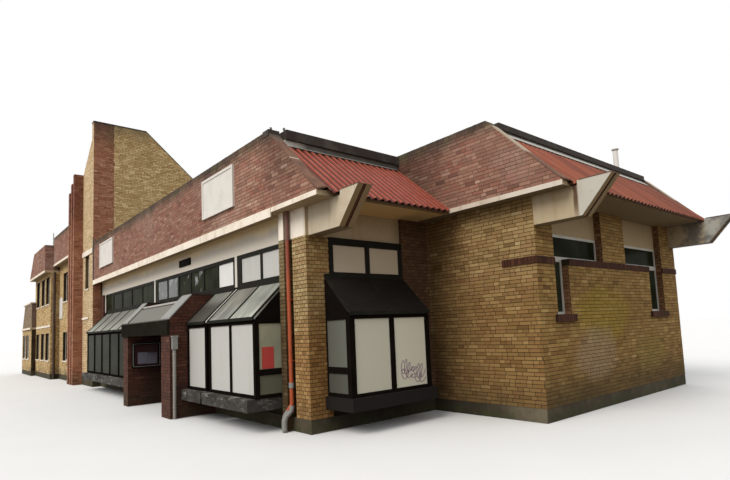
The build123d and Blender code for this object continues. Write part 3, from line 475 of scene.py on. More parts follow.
def window_glass(name, tint, cloud, shine):
    """Dark window glass before an unlit room, with dusty smears and soft broken highlights."""
    paint = Paint(name, rough=0.08, shine=shine)
    x, y, z = paint.x, paint.y, paint.z
    smear = paint.noise(1.3, 3.0, 0.5).rise(0.35, 0.8)
    paint.body = paint.mix(tint, cloud, smear * 0.5)
    broken = paint.noise(3.5, 5.0, 0.7, paint.stretch(1.0, 1.0, 0.6)).rise(0.52, 0.62)
    bright = (x + 8.0).abs().rise(1.1, 0.7) + (x + 5.9).abs().rise(0.9, 0.5) * broken * 0.6
    hall_front = y.rise(0.3, 0.2)
    bright = bright.clip() * z.rise(3.05, 3.12) * hall_front
    paint.coat((0.42, 0.43, 0.42), bright * (broken * 0.5 + 0.45))
    pale = x.rise(-3.35, -3.2) * z.rise(2.3, 2.2) * x.rise(0.0, -0.5)
    sheet = paint.mix((0.34, 0.325, 0.225), (0.24, 0.245, 0.18), smear)
    paint.coat(paint.mix(sheet, (0.118, 0.118, 0.080), z.rise(1.20, 1.12)), pale)
    paint.coat((0.30, 0.29, 0.22), (x + 17.07).abs().rise(0.5, 0.4) * hall_front * 0.9)
    return paint.finish(rough=0.07 + smear * 0.16 + pale * 0.5)


def bay_roof_skin():
    """Dark glazed bay roofs: pale dust and painted sheen on the front's panels, nearly black on the
    end bay.
    """
    paint = Paint("bay roof", rough=0.4, shine=0.12)
    x, z = paint.x, paint.z
    dust = paint.noise(1.6, 4.0, 0.6, paint.stretch(5.0, 1.0, 1.0)).rise(0.2, 0.9)
    front = x.rise(0.0, -0.4)
    # The pale on the front's panels is dust and painted sheen together, paler low down.
    streaks = (dust * 0.75 + 0.34) * (0.75 + z.rise(2.7, 2.25) * 0.5)
    paint.body = paint.mix((0.010, 0.008, 0.007), (0.30, 0.30, 0.25), (front * streaks).clip())
    # Panel by panel the dust and painted sheen are changed: darker on the small bay's lower part
    # and low on the middle panel, lighter high on the middle panel and on the panels to its right.
    left = x.rise(-4.5, -4.45) * x.rise(-3.1, -3.2) * z.rise(2.84, 2.58)
    paint.coat((0.047, 0.042, 0.034), left * 0.97)
    middle = x.rise(-3.17, -3.12) * x.rise(-1.95, -2.02)
    paint.tint(paint.mix((0.80, 0.80, 0.84), (1.20, 1.13, 1.10), z.rise(2.35, 2.75)), middle)
    paint.tint((1.22, 1.24, 1.26), front * x.rise(-2.1, -1.9))
    return paint.finish(0.4 + dust * 0.3, paint.noise(40.0, 2.0), 0.001)


def sheet_panels():
    """White filled panels, a little chalky, greyer where rain runs and on the hall's end."""
    paint = Paint("white panel", rough=0.5, shine=0.3)
    x, y, z = paint.x, paint.y, paint.z
    run = paint.noise(1.0, 3.0, 0.5, paint.stretch(5.0, 5.0, 0.6)).rise(0.45, 0.8)
    end = x.rise(-0.3, 0.0)
    paint.body = paint.mix((0.47, 0.455, 0.42), (0.40, 0.385, 0.34), run * 0.4)
    paint.coat((0.60, 0.56, 0.44), end)
    paint.coat((0.44, 0.34, 0.23), end * z.rise(2.6, 2.7) * 0.8)
    paint.tint((1.45, 1.46, 1.50), x.rise(-3.1, -3.3) * z.rise(2.9, 3.0))
    paint.tint((0.86, 0.87, 0.86), end * z.rise(2.4, 2.3) * y.rise(1.55, 1.45))
    # Painted shade: the end bay's panels that face along Y are painted nearly black, darker still
    # low down.
    cheeks = paint.facing()[1].abs().rise(0.5, 0.9) * end
    cheek_shade = paint.mix((0.072, 0.076, 0.062), (0.034, 0.037, 0.029), z.rise(1.22, 1.15))
    paint.coat(cheek_shade, cheeks * 0.92)
    return paint.finish(0.42 + run * 0.2, paint.noise(12.0, 2.0), 0.0008)


def sill_paint():
    """Dark sill slabs with chalky scuffs on the front ones."""
    paint = Paint("dark sill", rough=0.85, shine=0.2)
    cloud = paint.noise(2.1, 4.0, 0.6).rise(0.35, 0.7)
    paint.body = paint.mix((0.050, 0.046, 0.040), (0.022, 0.018, 0.014), cloud)
    chalk = paint.noise(3.2, 5.0, 0.75, paint.stretch(1.0, 1.0, 2.2)).rise(0.50, 0.68)
    paint.coat((0.26, 0.25, 0.23), chalk * paint.x.rise(-0.2, -0.8) * 0.7)
    paint.coat((0.007, 0.005, 0.004), paint.x.rise(-0.2, 0.0))
    return paint.finish(height=paint.noise(26.0, 4.0, 0.7), depth=0.003)


def rake_board():
    """Flat weathered brown capping beside the tiles."""
    paint = Paint("rake board", rough=0.8, shine=0.25)
    y, z = paint.y, paint.z
    run = paint.noise(1.0, 4.0, 0.6, paint.stretch(2.0, 9.0, 2.0)).rise(0.4, 0.7)
    paint.body = paint.mix((0.165, 0.082, 0.050), (0.105, 0.052, 0.031), run)
    paint.coat((0.40, 0.33, 0.24), z.rise(5.15, 5.20) * y.rise(2.8, 2.9) * 0.8)
    joint = (z - 5.28).abs().rise(0.016, 0.010) * y.rise(0.0, -0.02)
    paint.coat((0.42, 0.36, 0.27), joint)
    paint.coat((0.06, 0.05, 0.03), paint.noise(4.0, 4.0).rise(0.6, 0.75) * 0.6)
    return paint.finish(height=run)


YELLOW = ((0.0, (0.125, 0.070, 0.024)), (0.28, (0.215, 0.132, 0.050)),
          (0.55, (0.310, 0.205, 0.085)), (0.8, (0.400, 0.285, 0.130)), (1.0, (0.47, 0.36, 0.20)))
RED = ((0.0, (0.105, 0.044, 0.031)), (0.3, (0.20, 0.092, 0.061)), (0.6, (0.290, 0.152, 0.103)),
       (0.85, (0.37, 0.215, 0.152)), (1.0, (0.46, 0.31, 0.235)))
DARK_RED = ((0.0, (0.030, 0.011, 0.007)), (0.5, (0.073, 0.027, 0.016)),
            (1.0, (0.14, 0.060, 0.035)))
# The tower's and side wing's pale stops are also brightened as painted light, for their unshaded
# walls in haze; the next row is a lighter, lit copy of them for the tower's street face, as painted
# light.
PALE = ((0.0, (0.26, 0.155, 0.060)), (0.3, (0.43, 0.290, 0.125)), (0.6, (0.59, 0.415, 0.200)),
        (1.0, (0.76, 0.58, 0.32)))
LIT_PALE = ((0.0, (0.34, 0.23, 0.115)), (0.3, (0.50, 0.36, 0.20)), (0.6, (0.66, 0.49, 0.29)),
          (1.0, (0.80, 0.65, 0.43)))
STRING_RED = ((0.0, (0.020, 0.007, 0.004)), (0.5, (0.048, 0.016, 0.007)),
              (1.0, (0.095, 0.036, 0.016)))
# Red-brown brick darkened as painted shade, for the window reveals and the rear end pier.
SHADED_RED = ((0.0, (0.085, 0.034, 0.016)), (0.5, (0.190, 0.090, 0.040)), (1.0, (0.30, 0.165, 0.080)))
WARM_RED = ((0.0, (0.135, 0.047, 0.026)), (0.3, (0.260, 0.103, 0.055)),
            (0.6, (0.370, 0.168, 0.093)), (0.85, (0.45, 0.235, 0.14)), (1.0, (0.53, 0.33, 0.215)))
BEIGE = ((0.0, (0.13, 0.085, 0.048)), (0.5, (0.25, 0.180, 0.110)), (1.0, (0.38, 0.29, 0.19)))

yellow_brick = brick("yellow brick", YELLOW, (0.21, 0.125, 0.045), (0.27, 0.145, 0.062),
                     weather=yellow_wear_and_shade)
red_brick = brick("red brick", RED, (0.32, 0.205, 0.158), (0.27, 0.092, 0.060),
                  PARAPET_TOP + 0.05, 0.5, parapet_wear)
dark_brick = brick("dark red brick", DARK_RED, (0.06, 0.026, 0.018), (0.085, 0.026, 0.014))
string_brick = brick("string brick", STRING_RED, (0.04, 0.017, 0.009), (0.055, 0.017, 0.008))
shaded_red_brick = brick("shaded red brick", SHADED_RED, (0.06, 0.030, 0.014), (0.12, 0.045, 0.02))
band_brick = brick("band brick", RED, (0.42, 0.30, 0.25), (0.25, 0.10, 0.07), 7.5, 0.40)
beige_brick = brick("beige brick", BEIGE, (0.22, 0.150, 0.085), (0.20, 0.12, 0.07))
tower_brick = brick("tower brick", PALE, (0.40, 0.26, 0.10), (0.36, 0.20, 0.07), 11.9, 1.3)
# Lit copy of the tower's brick, for its street face: painted light.
lit_front_brick = brick("tower front brick", LIT_PALE, (0.50, 0.34, 0.18), (0.46, 0.30, 0.14),
                    11.6, 0.5)
tower_red = brick("tower red brick", WARM_RED, (0.33, 0.120, 0.065), (0.30, 0.10, 0.055),
                  11.8, 1.8, fin_wear)
joints = mortar("dark mortar", (0.022, 0.013, 0.006), (0.055, 0.034, 0.016))
pale_joints = mortar("tower mortar", (0.060, 0.038, 0.016), (0.125, 0.085, 0.040), 11.9, 1.3)
red_joints = mortar("red wall mortar", (0.12, 0.072, 0.052), (0.21, 0.145, 0.110),
                    PARAPET_TOP + 0.05, 0.42)
band_joints = mortar("band mortar", (0.13, 0.08, 0.058), (0.22, 0.15, 0.115), 7.5, 0.45)
dark_joints = mortar("dark red mortar", (0.020, 0.008, 0.006), (0.045, 0.020, 0.014))
cream = painted_concrete("cream concrete", (0.54, 0.46, 0.34), (0.33, 0.22, 0.10),
                         (0.130, 0.085, 0.034), 0.3)
grey = plain_concrete("grey concrete", (0.082, 0.066, 0.041), (0.038, 0.029, 0.018))
dark_sill = sill_paint()
render = plain_concrete("pale render", (0.52, 0.50, 0.45), (0.30, 0.28, 0.235))
tiles = tile_sheet()
roof_felt = felt()
black = metal_paint("black frame", (0.007, 0.005, 0.004), rough=0.6, dust=(0.03, 0.027, 0.022),
                    share=0.10, shine=0.0)
frames = frame_paint()
white = metal_paint("white frame", (0.48, 0.46, 0.40), rough=0.4, share=0.25)
zinc = metal_paint("zinc flashing", (0.24, 0.24, 0.22), rough=0.5, metallic=0.3, share=0.3)
felt_edge = metal_paint("dark coping sheet", (0.026, 0.017, 0.012), rough=0.65, share=0.2,
                        shine=0.2)
panel = sheet_panels()
glass = window_glass("dark glass", (0.014, 0.0155, 0.008), (0.048, 0.053, 0.032), 0.005)
bay_skin = bay_roof_skin()
pipes = pipe_paint()
board = rake_board()
plain_white = metal_paint("plaque white", (0.66, 0.62, 0.56), rough=0.5, share=0.15)
fascia = metal_paint("porch fascia sheet", (0.0140, 0.0128, 0.0092), rough=0.6, share=0.02,
                     shine=0.0)
porch_sheet = metal_paint("porch roof sheet", (0.145, 0.138, 0.118), rough=0.6, share=0.3,
                          shine=0.1)
grey_white = metal_paint("grey white strip", (0.40, 0.38, 0.34), rough=0.6, share=0.4)
# Near-black filler that stands for shade: the decks in the eaves' holes and the strips over the
# sheets' heads.
shadow_filler = metal_paint("rusty lining", (0.040, 0.016, 0.009), 0.8, (0.09, 0.04, 0.02), 0.5, shine=0.1)
groove_rust = metal_paint("groove rust", (0.085, 0.035, 0.020), 0.8, (0.16, 0.09, 0.05), 0.4,
                          shine=0.1)
# Case back: dark maroon, kept dark as painted shade of the porch.
maroon = metal_paint("case back", (0.055, 0.018, 0.020), rough=0.6, share=0.1, shine=0.2)
notice = metal_paint("notice red", (0.42, 0.035, 0.025), rough=0.5, share=0.1)
purple = metal_paint("marker purple", (0.13, 0.035, 0.12), rough=0.6, share=0.1, shine=0.1)
# Paper dimmed to a purple-grey as painted shade of the porch.
paper = metal_paint("shaded paper", (0.20, 0.19, 0.23), rough=0.8, dust=(0.12, 0.10, 0.14), share=0.6)
wire = metal_paint("dull wire", (0.12, 0.11, 0.10), rough=0.5, metallic=0.6)

NODE_FINISHES = (
    (band_joints, "annex_bands far_bands mid_bands tower_fins"),
    (cream, "annex_plates brackets concrete_beams roof_plate side_roof_plates tower_trims"),
    (joints, "annex_walls back_wall corner_end_wall corner_front_wall far_front_wall hall_piers "
             "low_walls mid_front_wall side_back_wall side_left_wall tower_back_wall "
             "tower_left_wall"),
    (black, "bay_frames beam_vent display_case door_screens"),
    (bay_skin, "bay_roofs"),
    (dark_sill, "bay_sills"),
    (red_joints, "brick_parapets"),
    (glass, "door_glass hall_glass window_glass"),
    (pipes, "downpipes"),
    (felt_edge, "end_copings"),
    (roof_felt, "flat_roof porch_roof side_roofs tower_roof"),
    (grey, "ground_slab side_slab upper_floor"),
    (frames, "light_frames"),
    (fascia, "porch_fascia"),
    (zinc, "porch_lamp"),
    (dark_joints, "porch_walls string_course"),
    (tiles, "tile_slopes"),
    (pale_joints, "tower_front_wall tower_gable"),
    (render, "upstand_walls"),
    (panel, "white_panels"),
    (white, "window_frames"))
for finish, nodes in NODE_FINISHES:
    for node in nodes.split():
        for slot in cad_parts[node].material_slots:
            slot.material = finish


# ---- Mesh making --------------------------------------------------------------------------
BLOCK_FACES = np.array([(0, 1, 2, 3), (7, 6, 5, 4), (0, 4, 5, 1), (1, 5, 6, 2), (2, 6, 7, 3),
                        (3, 7, 4, 0)])


def block_faces(count):
    """Faces of a number of blocks, eight points each."""
    return (BLOCK_FACES[None] + 8 * np.arange(count)[:, None, None]).reshape(-1, 4)


def make_piece(name, points, faces, finish, values=None, replaces=()):
    """Puts hall-coordinate points and faces into a mesh that rides on the building."""
    mesh = bpy.data.meshes.new(name)
    if not isinstance(faces, list):
        faces = faces.tolist()
    mesh.from_pydata(hall(points).tolist(), [], faces)
    for key, numbers in (values or {}).items():
        domain = "FACE" if len(numbers) == len(mesh.polygons) else "POINT"
        layer = mesh.attributes.new(key, "FLOAT", domain)
        layer.data.foreach_set("value", np.asarray(numbers, np.float32))
    mesh.materials.append(finish)
    piece = bpy.data.objects.new(name, mesh)
    bpy.context.collection.objects.link(piece)
    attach(piece, "root")
    if replaces:
        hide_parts(*replaces)
    return piece


def blocks(lows, highs):
    """Closed boxes between rows of low and high corners, as points and quads."""
    lows, highs = np.atleast_2d(lows).astype(float), np.atleast_2d(highs).astype(float)
    pick = np.array([(0, 0, 0), (1, 0, 0), (1, 0, 1), (0, 0, 1),
                     (0, 1, 0), (1, 1, 0), (1, 1, 1), (0, 1, 1)])
    points = lows[:, None] * (1 - pick) + highs[:, None] * pick
    return points.reshape(-1, 3), block_faces(len(lows))


def loft(rings):
    """Closed shape through a row of closed rings: faces between neighbours and two end faces."""
    rings = np.asarray(rings, float)
    n, k = rings.shape[:2]
    grid = np.arange(n * k).reshape(n, k)
    after = np.roll(grid, -1, 1)
    faces = np.stack([grid[:-1], after[:-1], after[1:], grid[1:]], 2).reshape(-1, 4).tolist()
    faces += [grid[0, ::-1].tolist(), grid[-1].tolist()]
    points = rings.reshape(-1, 3)
    arms = points - points.mean(0)
    volume = sum(np.dot(arms[f[0]], np.cross(arms[f[1]], arms[f[2]]))
                 for f in faces[:k] + faces[-2:])
    if volume < 0:
        faces = [f[::-1] for f in faces]
    return points, faces


def smooth(path, step):
    """Points every step or so along straight legs between the given corners."""
    path = np.asarray(path, float)
    legs = np.linalg.norm(np.diff(path, axis=0), axis=1)
    places = np.concatenate(([0], np.cumsum(legs)))
    at = np.linspace(0, places[-1], max(2, int(places[-1] / step)))
    return np.stack([np.interp(at, places, path[:, i]) for i in range(3)], 1)


class Group:
    """Gathers closed shapes that become one mesh."""

    def __init__(self, name, finish, slot):
        self.name = name
        self.finish = finish
        self.slot = slot
        self.points = []
        self.faces = []
        self.total = 0

    def add(self, points, faces):
        """Takes one more closed shape in."""
        self.points.append(points)
        self.faces += [[i + self.total for i in f] for f in faces]
        self.total += len(points)

    def box(self, x0, x1, y0, y1, z0, z1):
        """Closed box between two opposite corners."""
        corners = ((x0, y0, z0), (x1, y1, z1))
        points, faces = blocks(np.minimum(*corners), np.maximum(*corners))
        self.add(points, faces.tolist())

    def wall_box(self, facing, along, across, up):
        """Box on a wall, from its ranges along the wall, across it and upwards."""
        if facing == "left":
            along, across = across, along
        self.box(*along, *across, *up)

    def across(self, near, far, outline):
        """Outline of (x, z) points carried from one depth y to another."""
        self.add(*loft([[(x, y, z) for x, z in outline] for y in (near, far)]))

    def rail(self, path, profile):
        """Profile carried along a path without turning: each ring is a path point plus it."""
        self.add(*loft(np.asarray(path, float)[:, None] + np.asarray(profile, float)[None]))

    def tube(self, path, radius, sides):
        """Circle carried along a path, square to it: path + radius (cos a n + sin a b)."""
        path = np.asarray(path, float)
        along = np.gradient(path, axis=0)
        along /= np.linalg.norm(along, axis=1)[:, None]
        reference = np.eye(3)[np.argmin(np.abs(along.mean(0)))]
        n = np.cross(along, reference)
        n /= np.linalg.norm(n, axis=1)[:, None]
        b = np.cross(along, n)
        a = np.linspace(0, 2 * np.pi, sides, endpoint=False)[:, None]
        self.add(*loft(path[:, None] + radius * (np.cos(a) * n[:, None] + np.sin(a) * b[:, None])))

    def rod(self, foot, high, radius, sides):
        """Upright rod on a foot point."""
        x, y, z = foot
        self.tube([foot, (x, y, z + high)], radius, sides)

    def build(self):
        """Makes the gathered shapes one piece."""
        points = np.concatenate(self.points)
        return make_piece(self.name, points, self.faces, self.finish)


def boxes(name, finish, slot, *sizes):
    """Piece made of plain boxes, each given as x0, x1, y0, y1, z0, z1."""
    group = Group(name, finish, slot)
    for size in sizes:
        group.box(*size)
    return group.build()


def flat_bar(x0, x1, z0, z1):
    """Outline of a bar that lies along y."""
    return [(x0, 0, z0), (x1, 0, z0), (x1, 0, z1), (x0, 0, z1)]


def rim_of(u0, u1, z0, z1, wide):
    """Four strips round a rectangle: foot, head, left and right."""
    return [(u0, u1, z0, z0 + wide), (u0, u1, z1 - wide, z1),
            (u0, u0 + wide, z0 + wide, z1 - wide), (u1 - wide, u1, z0 + wide, z1 - wide)]


# ---- Brickwork ----------------------------------------------------------------------------
COURSE = 0.0758         # brick and bed joint
STRETCHER = 0.250
HEADER = 0.120
JOINT = 0.012
EDGE_PITCH = 0.077      # brick on edge and its joint
PROUD = 0.006           # brick faces stand this far out of the raked joints
rng = np.random.default_rng(7)


def without_holes(part, holes):
    """What rectangular holes leave of one course, as parts like the given one.

    A part is (a0, a1, b0, b1, low, top): a0 and a1 are the foot and head of its left end, b0
    and b1 those of its right end.
    """
    parts = [part]
    low, top = part[4:]
    for h0, h1, hz0, hz1 in holes:
        if hz0 >= top or hz1 <= low:
            continue
        kept = []
        for a0, a1, b0, b1, foot, head in parts:
            if h0 >= min(b0, b1) or h1 <= max(a0, a1):
                kept.append((a0, a1, b0, b1, foot, head))
                continue
            if h0 > max(a0, a1):
                kept.append((a0, a1, h0, h0, foot, head))
            if h1 < min(b0, b1):
                kept.append((h1, h1, b0, b1, foot, head))
            inner = (max(a0, h0), max(a1, h0), min(b0, h1), min(b1, h1))
            if hz0 - foot > 0.02:
                kept.append((*inner, foot, hz0))
            if head - hz1 > 0.02:
                kept.append((*inner, hz1, head))
        parts = kept
    return parts


class Masonry:
    """Collects bricks laid on flat walls and makes them one mesh."""

    def __init__(self, name, finish, slot, headers=0.35):
        self.name = name
        self.finish = finish
        self.slot = slot
        self.headers = headers
        self.corners = []

    def lay(self, facing, plane, along, up, holes=(), left=(), right=(), course=COURSE,
            brick=None, proud=PROUD, ends=(0.0, 0.0), uneven=0.0025):
        """Bricks on a wall: courses cut by rectangular holes and by slanting ends.

        facing is front, end, back or left; along and up are the wall's two ranges; left and
        right are lines (a, b) that limit a course to u >= a + b z and u <= a + b z.
        """
        u0, u1 = along[0] - ends[0], along[1] + ends[1]
        high = course - JOINT
        for row in range(int(math.ceil((up[1] - up[0] - 0.015) / course))):
            low = up[0] + row * course
            top = min(low + high, up[1])
            edges = [[max([u0] + [a + b * z for a, b in left]),
                      min([u1] + [a + b * z for a, b in right])] for z in (low, top)]
            whole = (edges[0][0], edges[1][0], edges[0][1], edges[1][1], low, top)
            for part in without_holes(whole, holes):
                quads = self._course(part, row, brick)
                if len(quads):
                    self._stand(facing, plane, quads, proud, uneven)

    def _course(self, part, row, brick):
        """Flat outlines (u, z) of the bricks in one part of a course, in the wall's plane.

        Without a brick length, headers and stretchers come in random order; with one, every
        second row is shifted by half a brick, and bricks on their ends stand in line.
        """
        a0, a1, b0, b1, low, top = part
        start, stop = min(a0, a1), max(b0, b1)
        if stop - start < 0.03 or top - low < 0.015:
            return ()
        most = int((stop - start) / ((brick or HEADER) + JOINT)) + 3
        if brick is None:
            sizes = np.where(rng.random(most) < self.headers, HEADER, STRETCHER)
            first = -rng.random() * 0.12
        else:
            sizes = np.full(most, brick)
            first = -(row % 2) * (brick + JOINT) / 2 if brick > 0.1 else 0.0
        begins = start + first + np.concatenate(([0.0], np.cumsum(sizes + JOINT)[:-1]))
        finishes = begins + sizes
        lower = np.clip(begins, a0, b0), np.clip(finishes, a0, b0)
        upper = np.clip(begins, a1, b1), np.clip(finishes, a1, b1)
        whole = np.maximum(lower[1] - lower[0], upper[1] - upper[0]) > 0.018
        corners = ((lower[0], low), (lower[1], low), (upper[1], top), (upper[0], top))
        return np.stack([np.stack([u, np.full(most, z)], 1) for u, z in corners], 1)[whole]

    def lay_on_edge(self, low, high, axis=0):
        """Bricks on edge right across the top of a wall, from one end to the other."""
        low, high = np.asarray(low, float), np.asarray(high, float)
        count = max(1, int(round((high[axis] - low[axis]) / EDGE_PITCH)))
        lows, highs = np.tile(low, (count, 1)), np.tile(high, (count, 1))
        places = np.linspace(low[axis], high[axis], count + 1)
        lows[:, axis] = places[:-1]
        highs[:, axis] = places[1:] - JOINT
        highs[:, 2] += (rng.random(count) - 0.5) * 0.005
        self.corners.append(blocks(lows, highs)[0].reshape(-1, 8, 3))

    def _stand(self, facing, plane, quads, proud, uneven):
        """Turns flat brick outlines (u, z) into closed blocks standing out of the wall."""
        n = len(quads)
        out = proud + (rng.random(n) - 0.5) * uneven
        sign = {"front": -1, "end": 1, "back": 1, "left": -1}[facing]
        u, z = quads[:, :, 0], quads[:, :, 1]
        corners = np.empty((n, 8, 3))
        for half, depth in ((0, out), (4, np.full(n, -0.002))):
            across = np.repeat(plane + sign * depth[:, None], 4, 1)
            sides = (u, across, z) if facing in ("front", "back") else (across, u, z)
            corners[:, half:half + 4] = np.stack(sides, 2)
        if facing in ("back", "left"):
            corners = corners[:, (1, 0, 3, 2, 5, 4, 7, 6)]
        self.corners.append(corners)

    def build(self):
        """Makes the bricks one piece, each with a tone of its own."""
        corners = np.concatenate(self.corners)
        tone = np.clip(rng.normal(0.5, 0.14, len(corners)), 0, 1)
        return make_piece(self.name, corners.reshape(-1, 3), block_faces(len(corners)), self.finish,
                          {"tone": np.repeat(tone, 6)})


def slanted(foot, head):
    """Line u = a + b z through two points (u, z)."""
    b = (head[0] - foot[0]) / (head[1] - foot[1])
    return foot[0] - b * foot[1], b


WINDOW_LOW = 3.19
SOFFIT = 4.356
LINTEL = 3.79
STRING = 3.05           # foot of the string course, which ends at the windows' sills
SLOT_LOW = 2.04         # sills of the narrow lower parts of the corner wing's windows
SLOT_SILL = 1.89        # and the foot of the bricks below them
BRICK_SET = 0.015       # raised brickwork stands this far back from the ledge
WALL_BACK = 0.235       # depth of the raised brickwork
EDGE = 0.115            # brick-on-edge course along the parapet tops
PARAPET_Y = extent("brick_parapets")[0][1]
REAR_Y = extent("brick_parapets")[1][1]
PARAPET_LAST = PARAPET_TOP - EDGE - JOINT
WING_X = 2.881
WING_Y = 3.374
WING_PARAPET_Y = 3.072 + BRICK_SET
REAR_WALL_Y = 10.414
HALL_LEFT = -16.0
HALL_EDGE = ((0.863, LEDGE_TOP), (-0.864, PARAPET_TOP))     # raked ends: foot and head (x, z)
WING_EDGE = ((3.71, LEDGE_TOP), (2.115, PARAPET_TOP))

parapet = Masonry("parapet_bricks", red_brick, "red_brick")
for facing, plane, start, edge in (("front", PARAPET_Y, HALL_LEFT, HALL_EDGE),
                                   ("front", WING_PARAPET_Y, -0.56, WING_EDGE),
                                   ("back", REAR_Y, HALL_LEFT, WING_EDGE)):
    head = edge[1][0]
    inner = plane + (WALL_BACK if facing == "front" else -WALL_BACK)
    parapet.lay(facing, plane, (start, 4.0), (LEDGE_TOP, PARAPET_LAST), right=(slanted(*edge),))
    parapet.lay("back" if facing == "front" else "front", inner, (start, head - 0.2),
                (5.77, PARAPET_LAST))
    parapet.lay_on_edge((start, min(plane, inner) - PROUD, PARAPET_TOP - EDGE),
                        (head, max(plane, inner) + PROUD, PARAPET_TOP + 0.002))
parapet.build()

window_holes = ((4.02, 6.12, WINDOW_LOW, 4.4), (4.02, 4.56, SLOT_LOW, 3.2),
                (7.27, 9.46, WINDOW_LOW, 4.4), (8.60, 9.46, SLOT_LOW, 3.2),
                (3.3, 3.694, LINTEL, 4.4), (10.094, 10.5, LINTEL, 4.4),
                (3.3, 4.03, STRING, WINDOW_LOW), (4.5, 8.65, STRING, WINDOW_LOW),
                (9.4, 10.5, STRING, WINDOW_LOW),
                (3.91, 4.66, SLOT_SILL, SLOT_LOW), (8.49, 9.56, SLOT_SILL, SLOT_LOW))
walls = Masonry("corner_wing_bricks", yellow_brick, "yellow_brick", headers=0.4)
walls.lay("front", WING_Y, (0.0, WING_X), (BASE_TOP, SOFFIT),
          holes=((2.1, 3.0, STRING, WINDOW_LOW),), ends=(0, PROUD))
walls.lay("end", WING_X, (WING_Y, REAR_WALL_Y), (BASE_TOP, SOFFIT), holes=window_holes)
walls.build()

STRING_OUT = 0.024
ON_END = 0.065          # width of a brick that stands on its end
trims = Masonry("string_and_sill_bricks", string_brick, "red_brick")
trims.lay("front", WING_Y - STRING_OUT, (2.1, WING_X + STRING_OUT), (STRING, WINDOW_LOW),
          course=0.152, brick=ON_END, ends=(0, PROUD))
for start, stop in ((WING_Y - STRING_OUT, 4.02), (4.56, 8.60), (9.46, REAR_WALL_Y)):
    trims.lay("end", WING_X + STRING_OUT, (start, stop), (STRING, WINDOW_LOW), course=0.152,
              brick=ON_END)
for start, stop in ((3.91, 4.66), (8.49, 9.56)):
    trims.lay("end", WING_X + 0.06, (start, stop), (SLOT_SILL, SLOT_LOW), course=0.162,
              brick=ON_END)
trims.build()

PIER = 0.493            # the corner pier is this wide
# Reveals and the rear end pier are laid in red-brown brick darkened as painted shade.
reveals = Masonry("window_reveal_bricks", shaded_red_brick, "red_brick")
for start, low, high in ((6.12, WINDOW_LOW, SOFFIT), (4.56, SLOT_LOW, STRING),
                         (9.46, SLOT_LOW, SOFFIT)):
    reveals.lay("front", start, (WING_X - 0.148, WING_X), (low, high), brick=0.135)
reveals.lay("end", 0.0, (2.547, WING_Y), (BASE_TOP, SOFFIT), brick=HEADER)
reveals.lay("front", 2.547, (-PIER, 0.0), (BASE_TOP, SOFFIT), brick=HEADER, ends=(0, PROUD))
reveals.build()

piers = Masonry("pier_bricks", yellow_brick, "yellow_brick", headers=0.75)
for facing, plane, along, low in (
        ("front", 0.0, (-PIER, 0.0), BASE_TOP), ("end", 0.0, (0.0, 0.525), BASE_TOP),
        ("left", -PIER, (0.0, 0.26), BASE_TOP), ("front", -0.10, (-0.85, -0.66), 0.0),
        ("end", -0.66, (-0.10, 0.26), 0.0), ("left", -0.85, (-0.10, 0.06), 0.0),
        ("front", 0.26, (-0.66, -PIER), BASE_TOP)):
    piers.lay(facing, plane, along, (low, LINTEL), brick=HEADER,
              ends=(0, PROUD if facing == "front" else 0))
piers.build()

rear = Masonry("rear_wall_bricks", yellow_brick, "yellow_brick")
rear.lay("back", REAR_WALL_Y, (HALL_LEFT, WING_X), (BASE_TOP, SOFFIT),
         holes=((-15.15, -9.15, 2.95, LINTEL), (-3.23, 1.20, 2.95, LINTEL),
                (-7.84, -4.95, BASE_TOP, LINTEL)))
rear.build()

PORCH_Y = -1.10
PORCH_HEAD = 2.38
FLANK_Y = -0.56         # the tops of the porch walls rise from the front to here
FLANK_TOP = 2.95
PORCH_LEFT, PORCH_RIGHT = -7.84, -4.95
FLANKS = ((-8.27, PORCH_LEFT), (PORCH_RIGHT, -4.35))
flank_rake = (slanted((PORCH_Y, PORCH_HEAD), (FLANK_Y, FLANK_TOP)),)
porch = Masonry("porch_bricks", dark_brick, "red_brick")
for left_x, right_x in FLANKS:
    porch.lay("front", PORCH_Y, (left_x, right_x), (0.0, PORCH_HEAD), ends=(PROUD, PROUD))
    porch.lay("end", right_x, (PORCH_Y, 0.06), (0.0, FLANK_TOP), left=flank_rake)
    porch.lay("left", left_x, (PORCH_Y, 0.06), (0.0, FLANK_TOP), left=flank_rake)
porch.lay("front", 0.0, (HALL_LEFT, -15.52), (BASE_TOP, LINTEL))
porch.lay("end", -15.52, (0.0, 0.06), (BASE_TOP, LINTEL))
porch.build()

# Tower: its gable wall stands between GABLE_LEFT and HALL_LEFT
TOWER_TOP = 11.41
TOWER_Y = -0.302
TOWER_BACK = 6.5
TOWER_LEFT = -19.19
GABLE_LEFT = -16.3
ROOF_LINE = 6.05        # the side wing's flat roof meets the tower here
FIN_OUT = 0.37
gable_rake = (slanted((TOWER_BACK, 7.29), (1.85, TOWER_TOP)),)
tower = Masonry("tower_bricks", tower_brick, "yellow_brick", headers=0.6)
tower.lay("end", HALL_LEFT, (0.5, TOWER_BACK), (5.62, TOWER_TOP), right=gable_rake, proud=0.010,
          uneven=0.012)
tower.lay("left", GABLE_LEFT, (TOWER_Y, TOWER_BACK), (7.1, TOWER_TOP), right=gable_rake)
tower.lay("back", TOWER_BACK, (GABLE_LEFT, HALL_LEFT), (ROOF_LINE, 7.29))
tower.lay("back", TOWER_BACK, (TOWER_LEFT, GABLE_LEFT), (ROOF_LINE, 6.86))
tower.lay("left", TOWER_LEFT, (0.0, 6.2), (ROOF_LINE, 8.31),
          right=(slanted((6.2, 7.146), (4.875, 8.32)),))
tower.lay("left", TOWER_LEFT, (TOWER_Y, 0.0), (ROOF_LINE, 8.57))
tower.build()
tower_face = Masonry("tower_front_bricks", lit_front_brick, "yellow_brick", headers=0.6)
